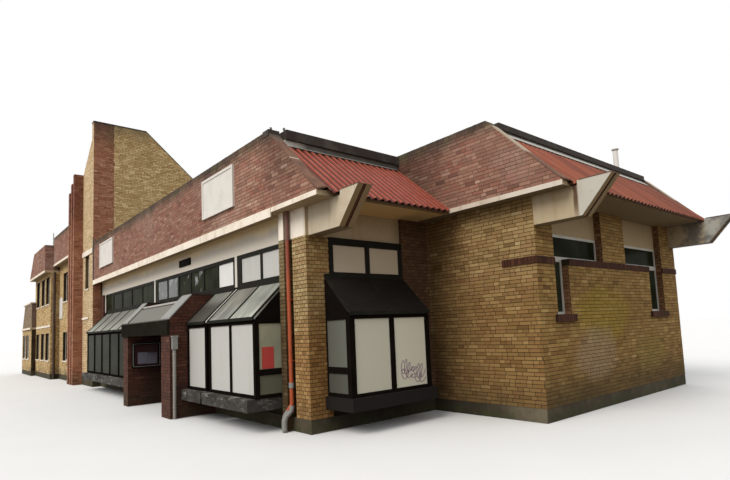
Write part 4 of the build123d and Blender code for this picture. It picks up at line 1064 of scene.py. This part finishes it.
tower_face.lay("front", TOWER_Y, (TOWER_LEFT, GABLE_LEFT), (BASE_TOP, 10.7),
               left=(slanted((TOWER_LEFT, 8.59), (GABLE_LEFT, 10.7)),),
               holes=((-17.43, -16.72, 4.17, 5.64), (-17.93, -16.0, 5.64, 5.86),
                      (-17.93, -16.7, 2.85, 2.94)))
tower_face.lay("front", TOWER_Y, (GABLE_LEFT, HALL_LEFT), (BASE_TOP, TOWER_TOP),
               holes=((-17.0, -15.9, 5.64, 5.86),))
tower_face.build()
strip = Masonry("tower_red_bricks", tower_red, "red_brick")
strip.lay("end", HALL_LEFT, (TOWER_Y, 0.5), (5.62, TOWER_TOP))
strip.lay("end", HALL_LEFT, (TOWER_Y, 0.0), (BASE_TOP, SOFFIT))
for i in range(3):
    right_x, top = -17.94 - 0.5 * i, 9.5 - 0.33 * i
    strip.lay("front", TOWER_Y - FIN_OUT, (right_x - 0.25, right_x), (0.0, top), brick=STRETCHER)
    strip.lay("end", right_x, (TOWER_Y - FIN_OUT, TOWER_Y), (0.0, top))
    strip.lay("left", right_x - 0.25, (TOWER_Y - FIN_OUT, TOWER_Y), (0.0, top))
strip.build()

# Side wing, a middle and a far block, and annex
STOREYS = (0.95, 3.95)
LIGHT_HIGH = 1.45
MID_LEFT = -23.5
MID_SLAB = 5.9          # under sides of the roof plates
FAR_LEFT = -28.8
FAR_FRONT = -0.70
FAR_SLAB = 5.6
ANNEX_LEFT, ANNEX_RIGHT = -32.3, -28.35
ANNEX_FRONT, ANNEX_BACK = -0.93, 4.6
ANNEX_SLAB = 2.72


def rows_of_windows(starts, width, sills=STOREYS):
    """Window holes (u0, u1, z0, z1): one row of equal lights on each of the sills."""
    return [(start, start + width, sill, sill + LIGHT_HIGH) for sill in sills for start in starts]


MID_WINDOWS = rows_of_windows((-22.45, -20.90), 1.15)
FAR_WINDOWS = rows_of_windows((-28.25, -26.50, -25.0), 1.15)
LEFT_WINDOWS = rows_of_windows((1.5, 4.2, 6.9), 1.3, STOREYS[1:]) + rows_of_windows(
    (6.9,), 1.3, STOREYS[:1])
BACK_WINDOWS = rows_of_windows([FAR_LEFT + 1.1 + i * 2.4 for i in range(5)], 1.3)
ANNEX_WINDOWS = rows_of_windows((-31.9, -30.5), 1.15, STOREYS[:1])
side = Masonry("side_wing_bricks", tower_brick, "yellow_brick")
side.lay("front", TOWER_Y, (MID_LEFT, TOWER_LEFT), (BASE_TOP, MID_SLAB), holes=MID_WINDOWS)
side.lay("front", FAR_FRONT, (FAR_LEFT, MID_LEFT), (BASE_TOP, FAR_SLAB), holes=FAR_WINDOWS)
side.lay("end", MID_LEFT, (FAR_FRONT, TOWER_Y), (BASE_TOP, FAR_SLAB))
side.lay("left", FAR_LEFT, (FAR_FRONT, REAR_WALL_Y), (BASE_TOP, FAR_SLAB),
         holes=LEFT_WINDOWS + [(-1.0, ANNEX_BACK, 0.0, 4.25)])
side.lay("front", ANNEX_FRONT, (ANNEX_LEFT, ANNEX_RIGHT), (BASE_TOP, ANNEX_SLAB),
         holes=ANNEX_WINDOWS)
side.lay("left", ANNEX_LEFT, (ANNEX_FRONT, ANNEX_BACK), (BASE_TOP, ANNEX_SLAB))
side.lay("back", ANNEX_BACK, (ANNEX_LEFT, FAR_LEFT), (BASE_TOP, ANNEX_SLAB))
side.build()
back = Masonry("side_wing_rear_bricks", tower_brick, "yellow_brick")
back.lay("back", REAR_WALL_Y, (FAR_LEFT, MID_LEFT), (BASE_TOP, FAR_SLAB), holes=BACK_WINDOWS)
back.lay("back", REAR_WALL_Y, (MID_LEFT, HALL_LEFT), (BASE_TOP, MID_SLAB), holes=BACK_WINDOWS)
back.build()

MID_TOP = 7.44
FAR_TOP = 7.05
MID_LAST = MID_TOP - EDGE - JOINT
FAR_LAST = FAR_TOP - EDGE - JOINT
MID_Y = -0.602 + BRICK_SET
FAR_Y = -1.0 + BRICK_SET
FAR_EDGE = ((-28.9, 5.71), (-27.4, FAR_TOP))
ANNEX_EDGE = ((ANNEX_LEFT, 2.83), (-31.3, 4.25))
far_foot, far_low = FAR_EDGE[0]
far_head = FAR_EDGE[1][0]
far_rake, annex_rake = (slanted(*FAR_EDGE),), (slanted(*ANNEX_EDGE),)
band = Masonry("band_bricks", band_brick, "red_brick")
band.lay("front", MID_Y, (MID_LEFT, TOWER_LEFT), (6.01, MID_LAST))
band.lay("left", MID_LEFT, (MID_Y, REAR_Y), (FAR_TOP - 0.4, MID_LAST))
band.lay("back", REAR_Y, (MID_LEFT, HALL_LEFT), (6.01, MID_LAST))
band.lay("end", HALL_LEFT, (TOWER_BACK, REAR_Y), (5.9, MID_LAST))
band.lay("front", FAR_Y, (far_foot, MID_LEFT), (far_low, FAR_LAST), left=far_rake)
band.lay("end", MID_LEFT, (FAR_Y, MID_Y), (far_low, FAR_LAST))
band.lay("back", REAR_Y, (far_foot, MID_LEFT), (far_low, FAR_LAST), left=far_rake)
for low, high, top, axis in (
        ((MID_LEFT, MID_Y), (TOWER_LEFT, MID_Y + WALL_BACK), MID_TOP, 0),
        ((MID_LEFT, REAR_Y - WALL_BACK), (HALL_LEFT, REAR_Y), MID_TOP, 0),
        ((MID_LEFT, MID_Y + WALL_BACK), (-23.25, REAR_Y - WALL_BACK), MID_TOP, 1),
        ((-16.25, TOWER_BACK), (HALL_LEFT, REAR_Y - WALL_BACK), MID_TOP, 1),
        ((far_head, FAR_Y), (MID_LEFT, FAR_Y + WALL_BACK), FAR_TOP, 0),
        ((far_head, REAR_Y - WALL_BACK), (MID_LEFT, REAR_Y), FAR_TOP, 0)):
    wide = np.array((PROUD, PROUD))
    wide[axis] = 0.0
    band.lay_on_edge((*(low - wide), top - EDGE), (*(high + wide), top + 0.002), axis)
band.build()
annex = Masonry("annex_band_bricks", beige_brick, "yellow_brick")
annex.lay("front", ANNEX_FRONT, (ANNEX_LEFT, ANNEX_RIGHT), (2.83, 4.25), left=annex_rake)
annex.lay("back", ANNEX_BACK, (ANNEX_LEFT, FAR_LEFT), (2.83, 4.25), left=annex_rake)
annex.build()


# ---- Tile sheets --------------------------------------------------------------------------
WAVE = 0.177            # pitch of the corrugation
DEEP = 0.045            # from its crests to its valleys
SHEET = 0.009
VERGE = 0.19            # the capping covers this much of the wall's width
HALL_TILES = ((-0.56, 5.734), (1.05, 4.425))                # head and eaves (x, z)
WING_TILES = ((2.211, 5.890), (3.816, 4.425))
SIDE_TILES = ((-27.25, 6.70), (-29.1, 5.685))
ANNEX_TILES = ((-31.425, 4.175), (-32.352, 2.862))


def tile_slope(name, head, eaves, near, far, node=None):
    """Corrugated sheet down a slope: depth below its crests is DEEP (1 - cos)/2 across it.

    head and eaves are (x, z); the foot of the sheet is twice as thick as the rest.
    """
    waves = max(1, round((far - near) / WAVE))
    across = np.linspace(0.0, 1.0, waves * 12 + 1)
    s, t = np.meshgrid(across, np.array([0.0, 0.25, 0.5, 0.75, 0.97, 1.0]))
    crest = (1 + np.cos(2 * np.pi * waves * s)) / 2
    direction = np.array([eaves[0] - head[0], 0.0, eaves[1] - head[1]])
    normal = np.array([-direction[2], 0.0, direction[0]]) / np.linalg.norm(direction)
    if normal[2] < 0:
        normal = -normal
    height = DEEP * (crest - 1) - 0.004
    base = np.stack([head[0] + direction[0] * t, near + (far - near) * s,
                     head[1] + direction[2] * t], 2)
    top = base + height[:, :, None] * normal
    under = top - np.where(t > 0.98, 2.0 * SHEET, SHEET)[:, :, None] * normal
    grid = np.arange(t.size).reshape(t.shape)
    upper = np.stack([grid[:-1, :-1], grid[:-1, 1:], grid[1:, 1:], grid[1:, :-1]], 2).reshape(-1, 4)
    rim = np.concatenate([grid[0], grid[1:, -1], grid[-1, ::-1][1:], grid[::-1, 0][1:]])
    side = np.stack([rim[:-1], rim[1:], rim[1:] + t.size, rim[:-1] + t.size], 1)
    faces = np.concatenate([upper[:, ::-1], upper + t.size, side])
    if direction[0] < 0:
        faces = faces[:, ::-1]
    points = np.concatenate([top.reshape(-1, 3), under.reshape(-1, 3)])
    edge = np.concatenate([np.zeros(2 * len(upper)), np.ones(len(side))])
    values = {"crest": np.tile(crest.ravel(), 2), "edge": edge}
    make_piece(name, points, faces, tiles, values, (node,) if node else ())


tile_slope("hall_tile_sheets", *HALL_TILES, PARAPET_Y + VERGE - 0.02, 3.080, "tile_slopes")
tile_slope("wing_tile_sheets", *WING_TILES, WING_PARAPET_Y + VERGE - 0.02, REAR_Y - VERGE + 0.02)
tile_slope("side_wing_tile_sheets", *SIDE_TILES, -0.75, 10.466)
tile_slope("annex_tile_sheets", *ANNEX_TILES, -0.90, 4.57)

# Decks under the sheets, near-black as painted shade in the holes at the eaves.
decks = Group("tile_decks", shadow_filler, "black_sheet")
for (head_x, head_z), (eaves_x, eaves_z), near, far in (
        (*HALL_TILES, PARAPET_Y + VERGE, 3.075), (*WING_TILES, 3.26, 10.53),
        (*SIDE_TILES, -0.74, 10.46)):
    inset = 0.035 if eaves_x > head_x else -0.035
    fall = (eaves_z - head_z) / (eaves_x - head_x)
    foot = (eaves_x - inset, eaves_z - fall * inset)
    decks.across(near, far, [(head_x, head_z - 0.075), (foot[0], foot[1] - 0.075),
                             (foot[0], foot[1] - 0.095), (head_x, head_z - 0.095)])
decks.build()

boxes("ledge_drip_band", cream, "concrete",
      (-15.99, -0.78, PARAPET_Y - BRICK_SET - 0.012, PARAPET_Y - BRICK_SET + 0.012,
       4.262, LEDGE_TOP - 0.003))

# Flat cappings between the raked parapets and the tiles, and over the brackets
BRACKET_TIP = 1.588     # a bracket reaches this far beyond the pier's face
boards = Group("rake_boards", board, "tile")


def rake_capping(foot, head, tile_line, outer, inner):
    """Strip whose outer edge follows the brick rake and whose inner edge meets the tiles."""
    start = np.interp(tile_line[0][1] + 0.02, (foot[1], head[1]), (foot[0], head[0]))
    x = np.linspace(start, foot[0] + 0.05, 12)
    rake = np.interp(x, (head[0], foot[0]), (head[1], foot[1]))
    crest = np.interp(x, *zip(*tile_line), left=-1.0)
    inside = np.maximum(rake + 0.016, crest - 0.012)
    corners = ((outer, rake + 0.020), (inner, inside), (inner, inside - 0.03),
               (outer, rake - 0.012))
    boards.add(*loft(np.stack([np.stack([x, np.full(12, y), z], 1) for y, z in corners], 1)))


rake_capping(*HALL_EDGE, HALL_TILES, PARAPET_Y - 0.010, PARAPET_Y + VERGE)
rake_capping(*WING_EDGE, WING_TILES, WING_PARAPET_Y - 0.010, WING_PARAPET_Y + VERGE)
rake_capping(*WING_EDGE, WING_TILES, REAR_Y + 0.010, REAR_Y - VERGE)
for low_x, start in ((0.0, 0.072), (WING_X, WING_Y), (WING_X, REAR_WALL_Y - 0.32)):
    out = 0.985 if low_x else 1.06
    boards.box(low_x + out, low_x + BRACKET_TIP, start - 0.008, start + 0.328, 4.446, 4.458)
boards.build()
boxes("parapet_head_blocks", felt_edge, "black_sheet",
      (-1.05, -0.80, PARAPET_Y - 0.012, PARAPET_Y + 0.247, 5.975, 6.105))
linings = Group("bracket_groove_linings", groove_rust, "black_sheet")
for low_x, start in ((0.0, 0.192), (WING_X, WING_Y + 0.12), (WING_X, REAR_WALL_Y - 0.20)):
    path = [(low_x + 1.0, start, 3.792), (low_x + BRACKET_TIP, start, 4.444)]
    for a, b, c, d in ((-0.060, -0.026, 0.0005, 0.0795), (-0.026, -0.006, 0.0005, 0.004),
                       (-0.026, -0.006, 0.076, 0.0795)):
        linings.rail(path, [(a, c, 0), (b, c, 0), (b, d, 0), (a, d, 0)])
linings.build()
flashing = Group("tile_head_flashings", grey_white, "grey_sheet")
# Near-black strips just above the sheets' heads: painted shadow of the gap there.
head_shade_strips = Group("tile_head_shade_strips", shadow_filler, "black_sheet")
for (head_x, head_z), (eaves_x, eaves_z), near, far, wide in (
        (*HALL_TILES, 0.02, 3.07, 0.02), (*WING_TILES, 3.34, 10.40, 0.19)):
    fall = (eaves_z - head_z) / (eaves_x - head_x)
    head_shade_strips.box(head_x - 0.02, head_x + 0.012, near, far, head_z - 0.07, head_z - 0.012)
    flashing.across(near, far, [(head_x - 0.01, head_z + 0.006), (head_x - 0.01, head_z + 0.018),
                                (head_x + wide, head_z + 0.018 + fall * wide),
                                (head_x + wide, head_z + 0.006 + fall * wide)])
flashing.build()
head_shade_strips.build()

# ---- Bays and porch -----------------------------------------------------------------------
FRONT_BAYS = ((-3.06, -0.85, 2), (-4.35, -3.20, 1), (-15.10, -8.27, 6))     # left, right, panels
BAY_FOOT = (-0.715, 2.243)                                  # of a front bay's roof, (y, z)
BAY_HEAD = (0.06, 3.0)
BAR = 0.025             # half the width of a bar on the bays' roofs
bars = Group("bay_roof_bars", frames, "dark_frame")


def slope_bar(group, x0, x1, high):
    """Bar of a given width lying up the slope of a front bay's roof."""
    group.rail([(0, *BAY_FOOT), (0, *BAY_HEAD)], flat_bar(x0, x1, -0.02, high))


for left, right, count in FRONT_BAYS:
    for i in range(count + 1):
        middle = left + (right - left) * i / count
        middle = min(max(middle, left + BAR), right - BAR)
        slope_bar(bars, middle - BAR, middle + BAR, 0.020)
    bars.box(left, right, -0.722, -0.69, 2.195, 2.262)
    bars.box(left, right, 0.02, 0.058, 2.96, 3.03)
for middle in (0.425, 1.45, 2.475):
    bars.rail([(0.79, middle, 2.243), (0.0, middle, 3.0)],
              [(0, -0.03, -0.02), (0, 0.03, -0.02), (0, 0.03, 0.022), (0, -0.03, 0.022)])
bars.box(0.77, 0.806, 0.40, 2.50, 2.190, 2.262)
bars.box(0.0, 0.03, 0.40, 2.50, 2.96, 3.05)
for slat in range(5):
    bars.box(-6.84, -6.02, 0.020, 0.036, 3.955 + slat * 0.036, 3.967 + slat * 0.036)
bars.build()

trim = Group("porch_cappings", zinc, "grey_sheet")
for left_x, right_x in FLANKS:
    trim.rail([(0, PORCH_Y - 0.012, PORCH_HEAD - 0.012), (0, FLANK_Y, FLANK_TOP)],
              flat_bar(left_x - 0.015, right_x + 0.015, 0, 0.035))
trim.box(-5.0, -4.95, -1.0, -0.99, 2.36, 2.37)
trim.build()
boxes("dark_porch_trims", felt_edge, "black_sheet",
      *((left_x - 0.02, right_x + 0.02, -0.57, 0.055, FLANK_TOP, FLANK_TOP + 0.035)
        for left_x, right_x in FLANKS),
      (-8.31, -4.34, -1.158, -1.13, 2.34, 2.356))


def porch_strip(group, low, high, thick):
    """Sheet between the porch walls, in the plane of their raked tops, from depth low to high."""
    rise = (FLANK_TOP - PORCH_HEAD) / (FLANK_Y - PORCH_Y)
    path = [(0, y, PORCH_HEAD + rise * (y - PORCH_Y)) for y in (low, high)]
    group.rail(path, flat_bar(PORCH_LEFT, PORCH_RIGHT, -0.03, thick))


porch_cover = Group("porch_roof_sheet", porch_sheet, "grey_sheet")
porch_strip(porch_cover, PORCH_Y + 0.002, -0.745, 0.0)
porch_cover.build()
boxes("porch_roof_edge", grey_white, "grey_sheet",
      (PORCH_LEFT, PORCH_RIGHT, -0.695, -0.665, 2.795, 2.842))
porch_deck = Group("porch_roof_deck", felt_edge, "black_sheet")
porch_strip(porch_deck, -0.745, -0.69, -0.012)
porch_deck.rail([(0, PORCH_Y + 0.002, PORCH_HEAD + 0.004), (0, -0.69, 2.813)],
                flat_bar(PORCH_LEFT, -7.76, -0.02, 0.006))
porch_deck.box(PORCH_LEFT, PORCH_RIGHT, -0.68, 0.0, 2.780, 2.798)
porch_deck.build()

pale_trim = Group("white_trims", plain_white, "white_sheet")
slope_bar(pale_trim, -3.135, -3.105, 0.012)
PLATE_LOW, PLATE_HIGH = 4.82, 5.80
PLATE_RIM = 0.06
face = PARAPET_Y - PROUD
for x0, x1 in ((-4.19, -2.43), (-14.75, -12.80)):
    pale_trim.box(x0, x1, face - 0.035, face + 0.004, PLATE_LOW, PLATE_HIGH)
    for a, b, c, d in rim_of(x0, x1, PLATE_LOW, PLATE_HIGH, PLATE_RIM):
        pale_trim.box(a, b, face - 0.050, face - 0.034, c, d)
pale_trim.box(-23.35, -22.55, TOWER_Y - 0.03, TOWER_Y, 3.12, 4.20)
pale_trim.build()

boxes("red_notice", notice, "red_paint", (-0.872, -0.866, -0.528, -0.265, 1.235, 1.660))
boxes("case_backing", maroon, "dark_frame", (-7.8125, -7.8095, -0.945, -0.27, 1.15, 1.74))
boxes("case_papers", paper, "white_sheet", (-7.809, -7.803, -0.84, -0.575, 1.19, 1.52),
      (-7.809, -7.803, -0.57, -0.30, 1.18, 1.50))
boxes("case_rim", zinc, "grey_sheet", (-7.762, -7.754, -0.99, -0.97, 1.11, 1.78),
      (-7.762, -7.754, -0.99, -0.23, 1.11, 1.125), (-7.762, -7.754, -0.99, -0.23, 1.765, 1.78),
      (-7.762, -7.754, -0.245, -0.23, 1.11, 1.78))
scribble = Group("panel_scribble", purple, "white_sheet")
t = np.linspace(0, 1, 260)
for shift, size, turns in ((0.0, 0.15, 7.0), (0.35, 0.10, 5.0)):
    y = 1.68 + 0.60 * t + 0.06 * np.cos(2 * np.pi * turns * t + shift)
    z = 1.16 - 0.16 * t - shift * 0.4 + size * np.sin(2 * np.pi * turns * t + 0.6) * (
        0.6 + 0.4 * np.sin(2 * np.pi * 1.5 * t + shift))
    scribble.tube(np.stack([np.full(260, 0.752), y, z], 1), 0.005, 5)
scribble.build()

# ---- Pipes, rods and window trims ---------------------------------------------------------
PIPE_X, PIPE_Y = -0.577, -0.06
PORCH_PIPE_X, PORCH_PIPE_Y = -4.31, -1.01
fittings = Group("pipe_fittings", zinc, "grey_sheet")
fittings.rod((PIPE_X, PIPE_Y, 0.84), 0.10, 0.052, 16)
fittings.tube(smooth([(PIPE_X, -0.062, 0.50), (-0.583, -0.08, 0.40), (-0.625, -0.165, 0.305),
                      (-0.640, -0.198, 0.22), (-0.640, -0.2, 0.03)], 0.02), 0.055, 16)
for z in (0.25, 1.0, 1.5):
    fittings.rod((PORCH_PIPE_X, PORCH_PIPE_Y, z), 0.03, 0.047, 12)
fittings.box(-4.352, -4.23, -1.085, -0.935, 1.93, 1.965)
fittings.build()
clamps = Group("pipe_clamps", pipes, "red_paint")
for z in (1.35, 2.55, 3.75):
    clamps.rod((PIPE_X, PIPE_Y, z), 0.035, 0.046, 16)
    clamps.box(-0.60, -0.555, -0.03, 0.26 if z < 3.7 else 0.0, z + 0.008, z + 0.028)
clamps.build()

ROD_Y = PARAPET_Y + 0.12
AERIAL_X, AERIAL_Y = -25.6, -0.3
cables = Group("roof_rods", wire, "grey_sheet")
cables.tube([(-1.02, ROD_Y, 6.06), (-0.93, ROD_Y, 6.17)], 0.008, 6)
cables.tube([(-0.85, 0.10, 5.70), (-0.85, 0.10, 6.19)], 0.008, 6)
for x, y, z in ((-0.93, ROD_Y, 6.18), (-0.85, 0.10, 6.20)):
    cables.tube([(x, y, z + rise) for rise in (-0.022, -0.012, 0.012, 0.022)], 0.026, 10)
cables.tube([(-15.93, -0.318, 4.46), (-15.93, -0.318, 6.3)], 0.020, 8)
cables.tube([(AERIAL_X, AERIAL_Y, 6.7), (AERIAL_X, AERIAL_Y, 8.1)], 0.018, 8)
for z, wide in ((7.55, 0.30), (7.75, 0.26), (7.95, 0.22)):
    cables.tube([(AERIAL_X - wide, AERIAL_Y, z), (AERIAL_X + wide, AERIAL_Y, z)], 0.008, 6)
cables.build()

VENT_X, VENT_Y = 1.72, 9.95
vents = Group("roof_vent_pipe", plain_white, "white_sheet")
vents.tube([(VENT_X, VENT_Y, 5.75), (VENT_X, VENT_Y, 6.88)], 0.075, 20)
vents.tube([(VENT_X, VENT_Y, 6.92), (VENT_X, VENT_Y, 6.95)], 0.105, 20)
for turn in (0.3, 2.4, 4.5):
    x, y = VENT_X + 0.06 * math.cos(turn), VENT_Y + 0.06 * math.sin(turn)
    vents.tube([(x, y, 6.85), (x, y, 6.93)], 0.008, 6)
vents.build()

FRAME = 0.07            # width of a window frame's bars
mullions = Group("window_mullions", white, "white_frame")
sills = Group("window_sills", cream, "concrete")
for windows, facing, face in ((MID_WINDOWS, "front", TOWER_Y), (FAR_WINDOWS, "front", FAR_FRONT),
                              (ANNEX_WINDOWS, "front", ANNEX_FRONT),
                              (LEFT_WINDOWS, "left", FAR_LEFT),
                              (BACK_WINDOWS, "back", REAR_WALL_Y)):
    outward = 1 if facing == "back" else -1
    outer, inner = (0.055, 0.082) if windows is ANNEX_WINDOWS else (0.115, 0.178)
    for a0, a1, low, high in windows:
        middle = (a0 + a1) / 2
        pieces = [(middle - 0.035, middle + 0.035, low + FRAME, high - FRAME)]
        if windows is ANNEX_WINDOWS:
            pieces += rim_of(a0, a1, low, high, FRAME)
        for b0, b1, z0, z1 in pieces:
            mullions.wall_box(facing, (b0, b1), (face - outward * outer, face - outward * inner),
                              (z0, z1))
        sills.wall_box(facing, (a0 - 0.03, a1 + 0.03),
                       (face + outward * 0.035, face - outward * 0.12),
                       (low - 0.045, low + 0.006))
sills.box(-17.46, -16.69, TOWER_Y - 0.035, TOWER_Y + 0.12, 4.125, 4.176)
sills.box(-28.34, MID_LEFT, -0.725, -0.69, 2.72, 2.83)
sills.box(-31.35, ANNEX_RIGHT, -0.955, -0.69, 4.20, 4.25)
mullions.build()
sills.build()


# ---- Stage and camera ---------------------------------------------------------------------
FOCAL_PX = 516.046
FRAME_PX = (730, 480)
AXIS_PX = (380.492, 278.624)
YAW, PITCH, ROLL = 0.853, 0.093, -0.045
EYE = (8.35687, -5.41992, 1.95299)


def make_camera():
    """Camera from the fitted yaw, pitch, roll and principal point."""
    ahead = Vector((-math.sin(YAW) * math.cos(PITCH), math.cos(YAW) * math.cos(PITCH),
                    math.sin(PITCH)))
    right = Vector((math.cos(YAW), math.sin(YAW), 0))
    up = right.cross(ahead)
    level_right, level_up = right.copy(), up.copy()
    right = math.cos(ROLL) * level_right + math.sin(ROLL) * level_up
    up = -math.sin(ROLL) * level_right + math.cos(ROLL) * level_up
    lens = bpy.data.cameras.new("camera")
    lens.sensor_width = 36.0
    lens.lens = FOCAL_PX / FRAME_PX[0] * 36.0
    lens.shift_x = (FRAME_PX[0] / 2 - AXIS_PX[0]) / FRAME_PX[0]
    lens.shift_y = (AXIS_PX[1] - FRAME_PX[1] / 2) / FRAME_PX[0]
    lens.clip_end = 500.0
    camera = bpy.data.objects.new("camera", lens)
    turn = Matrix((right, up, -ahead)).transposed().to_4x4()
    camera.matrix_world = Matrix.Translation(hall(EYE)) @ turn
    bpy.context.collection.objects.link(camera)
    bpy.context.scene.camera = camera


def make_floor():
    """Wide pale floor, one quad round the origin."""
    reach = 160.0
    mesh = bpy.data.meshes.new("floor")
    mesh.from_pydata([(-reach, -reach, -0.004), (reach, -reach, -0.004), (reach, reach, -0.004),
                      (-reach, reach, -0.004)], [], [(0, 1, 2, 3)])
    paint = Paint("pale floor", rough=0.9, shine=0.1)
    path = paint.add("ShaderNodeLightPath").outputs
    seen = (Value(paint, path["Is Camera Ray"]) + Value(paint, path["Is Glossy Ray"])
            + Value(paint, path["Is Transmission Ray"])).clip()
    pale = paint.mix((0.62, 0.61, 0.59), (0.66, 0.65, 0.63), paint.noise(0.6, 2.0))
    paint.body = paint.mix((0.13, 0.105, 0.075), pale, seen)
    mesh.materials.append(paint.finish())
    floor = bpy.data.objects.new("floor", mesh)
    bpy.context.collection.objects.link(floor)


def make_light():
    """A broad soft sun from the front and an even white sky."""
    sun = bpy.data.lights.new("soft sun", "SUN")
    sun.energy = 2.5
    sun.angle = math.radians(35)
    sun.color = (1.0, 0.97, 0.93)
    lamp = bpy.data.objects.new("soft sun", sun)
    lamp.rotation_mode = "QUATERNION"
    lamp.rotation_quaternion = Vector((0.10, -0.75, 0.80)).to_track_quat("Z", "Y")
    bpy.context.collection.objects.link(lamp)
    world = bpy.data.worlds.new("studio")
    bpy.context.scene.world = world
    world.use_nodes = True
    world.node_tree.nodes.clear()
    sky = Nodes(world.node_tree)
    path = sky.add("ShaderNodeLightPath").outputs
    mirrored = sky.add("ShaderNodeMath", {"operation": "ADD"},
                       {0: path["Is Glossy Ray"], 1: path["Is Transmission Ray"]})
    seen = sky.add("ShaderNodeMath", {"operation": "ADD", "use_clamp": True},
                   {0: path["Is Camera Ray"], 1: mirrored.outputs[0]})
    lit = sky.add("ShaderNodeBackground", {}, {"Color": (0.93, 0.96, 1.0), "Strength": 1.05})
    plain = sky.add("ShaderNodeBackground", {}, {"Color": (1.0, 1.0, 1.0)})
    mixer = sky.add("ShaderNodeMixShader", {},
                    {0: seen.outputs[0], 1: lit.outputs[0], 2: plain.outputs[0]})
    sky.add("ShaderNodeOutputWorld", {}, {0: mixer.outputs[0]})
    bpy.context.scene.view_settings.view_transform = "Standard"


make_camera()
make_floor()
make_light()
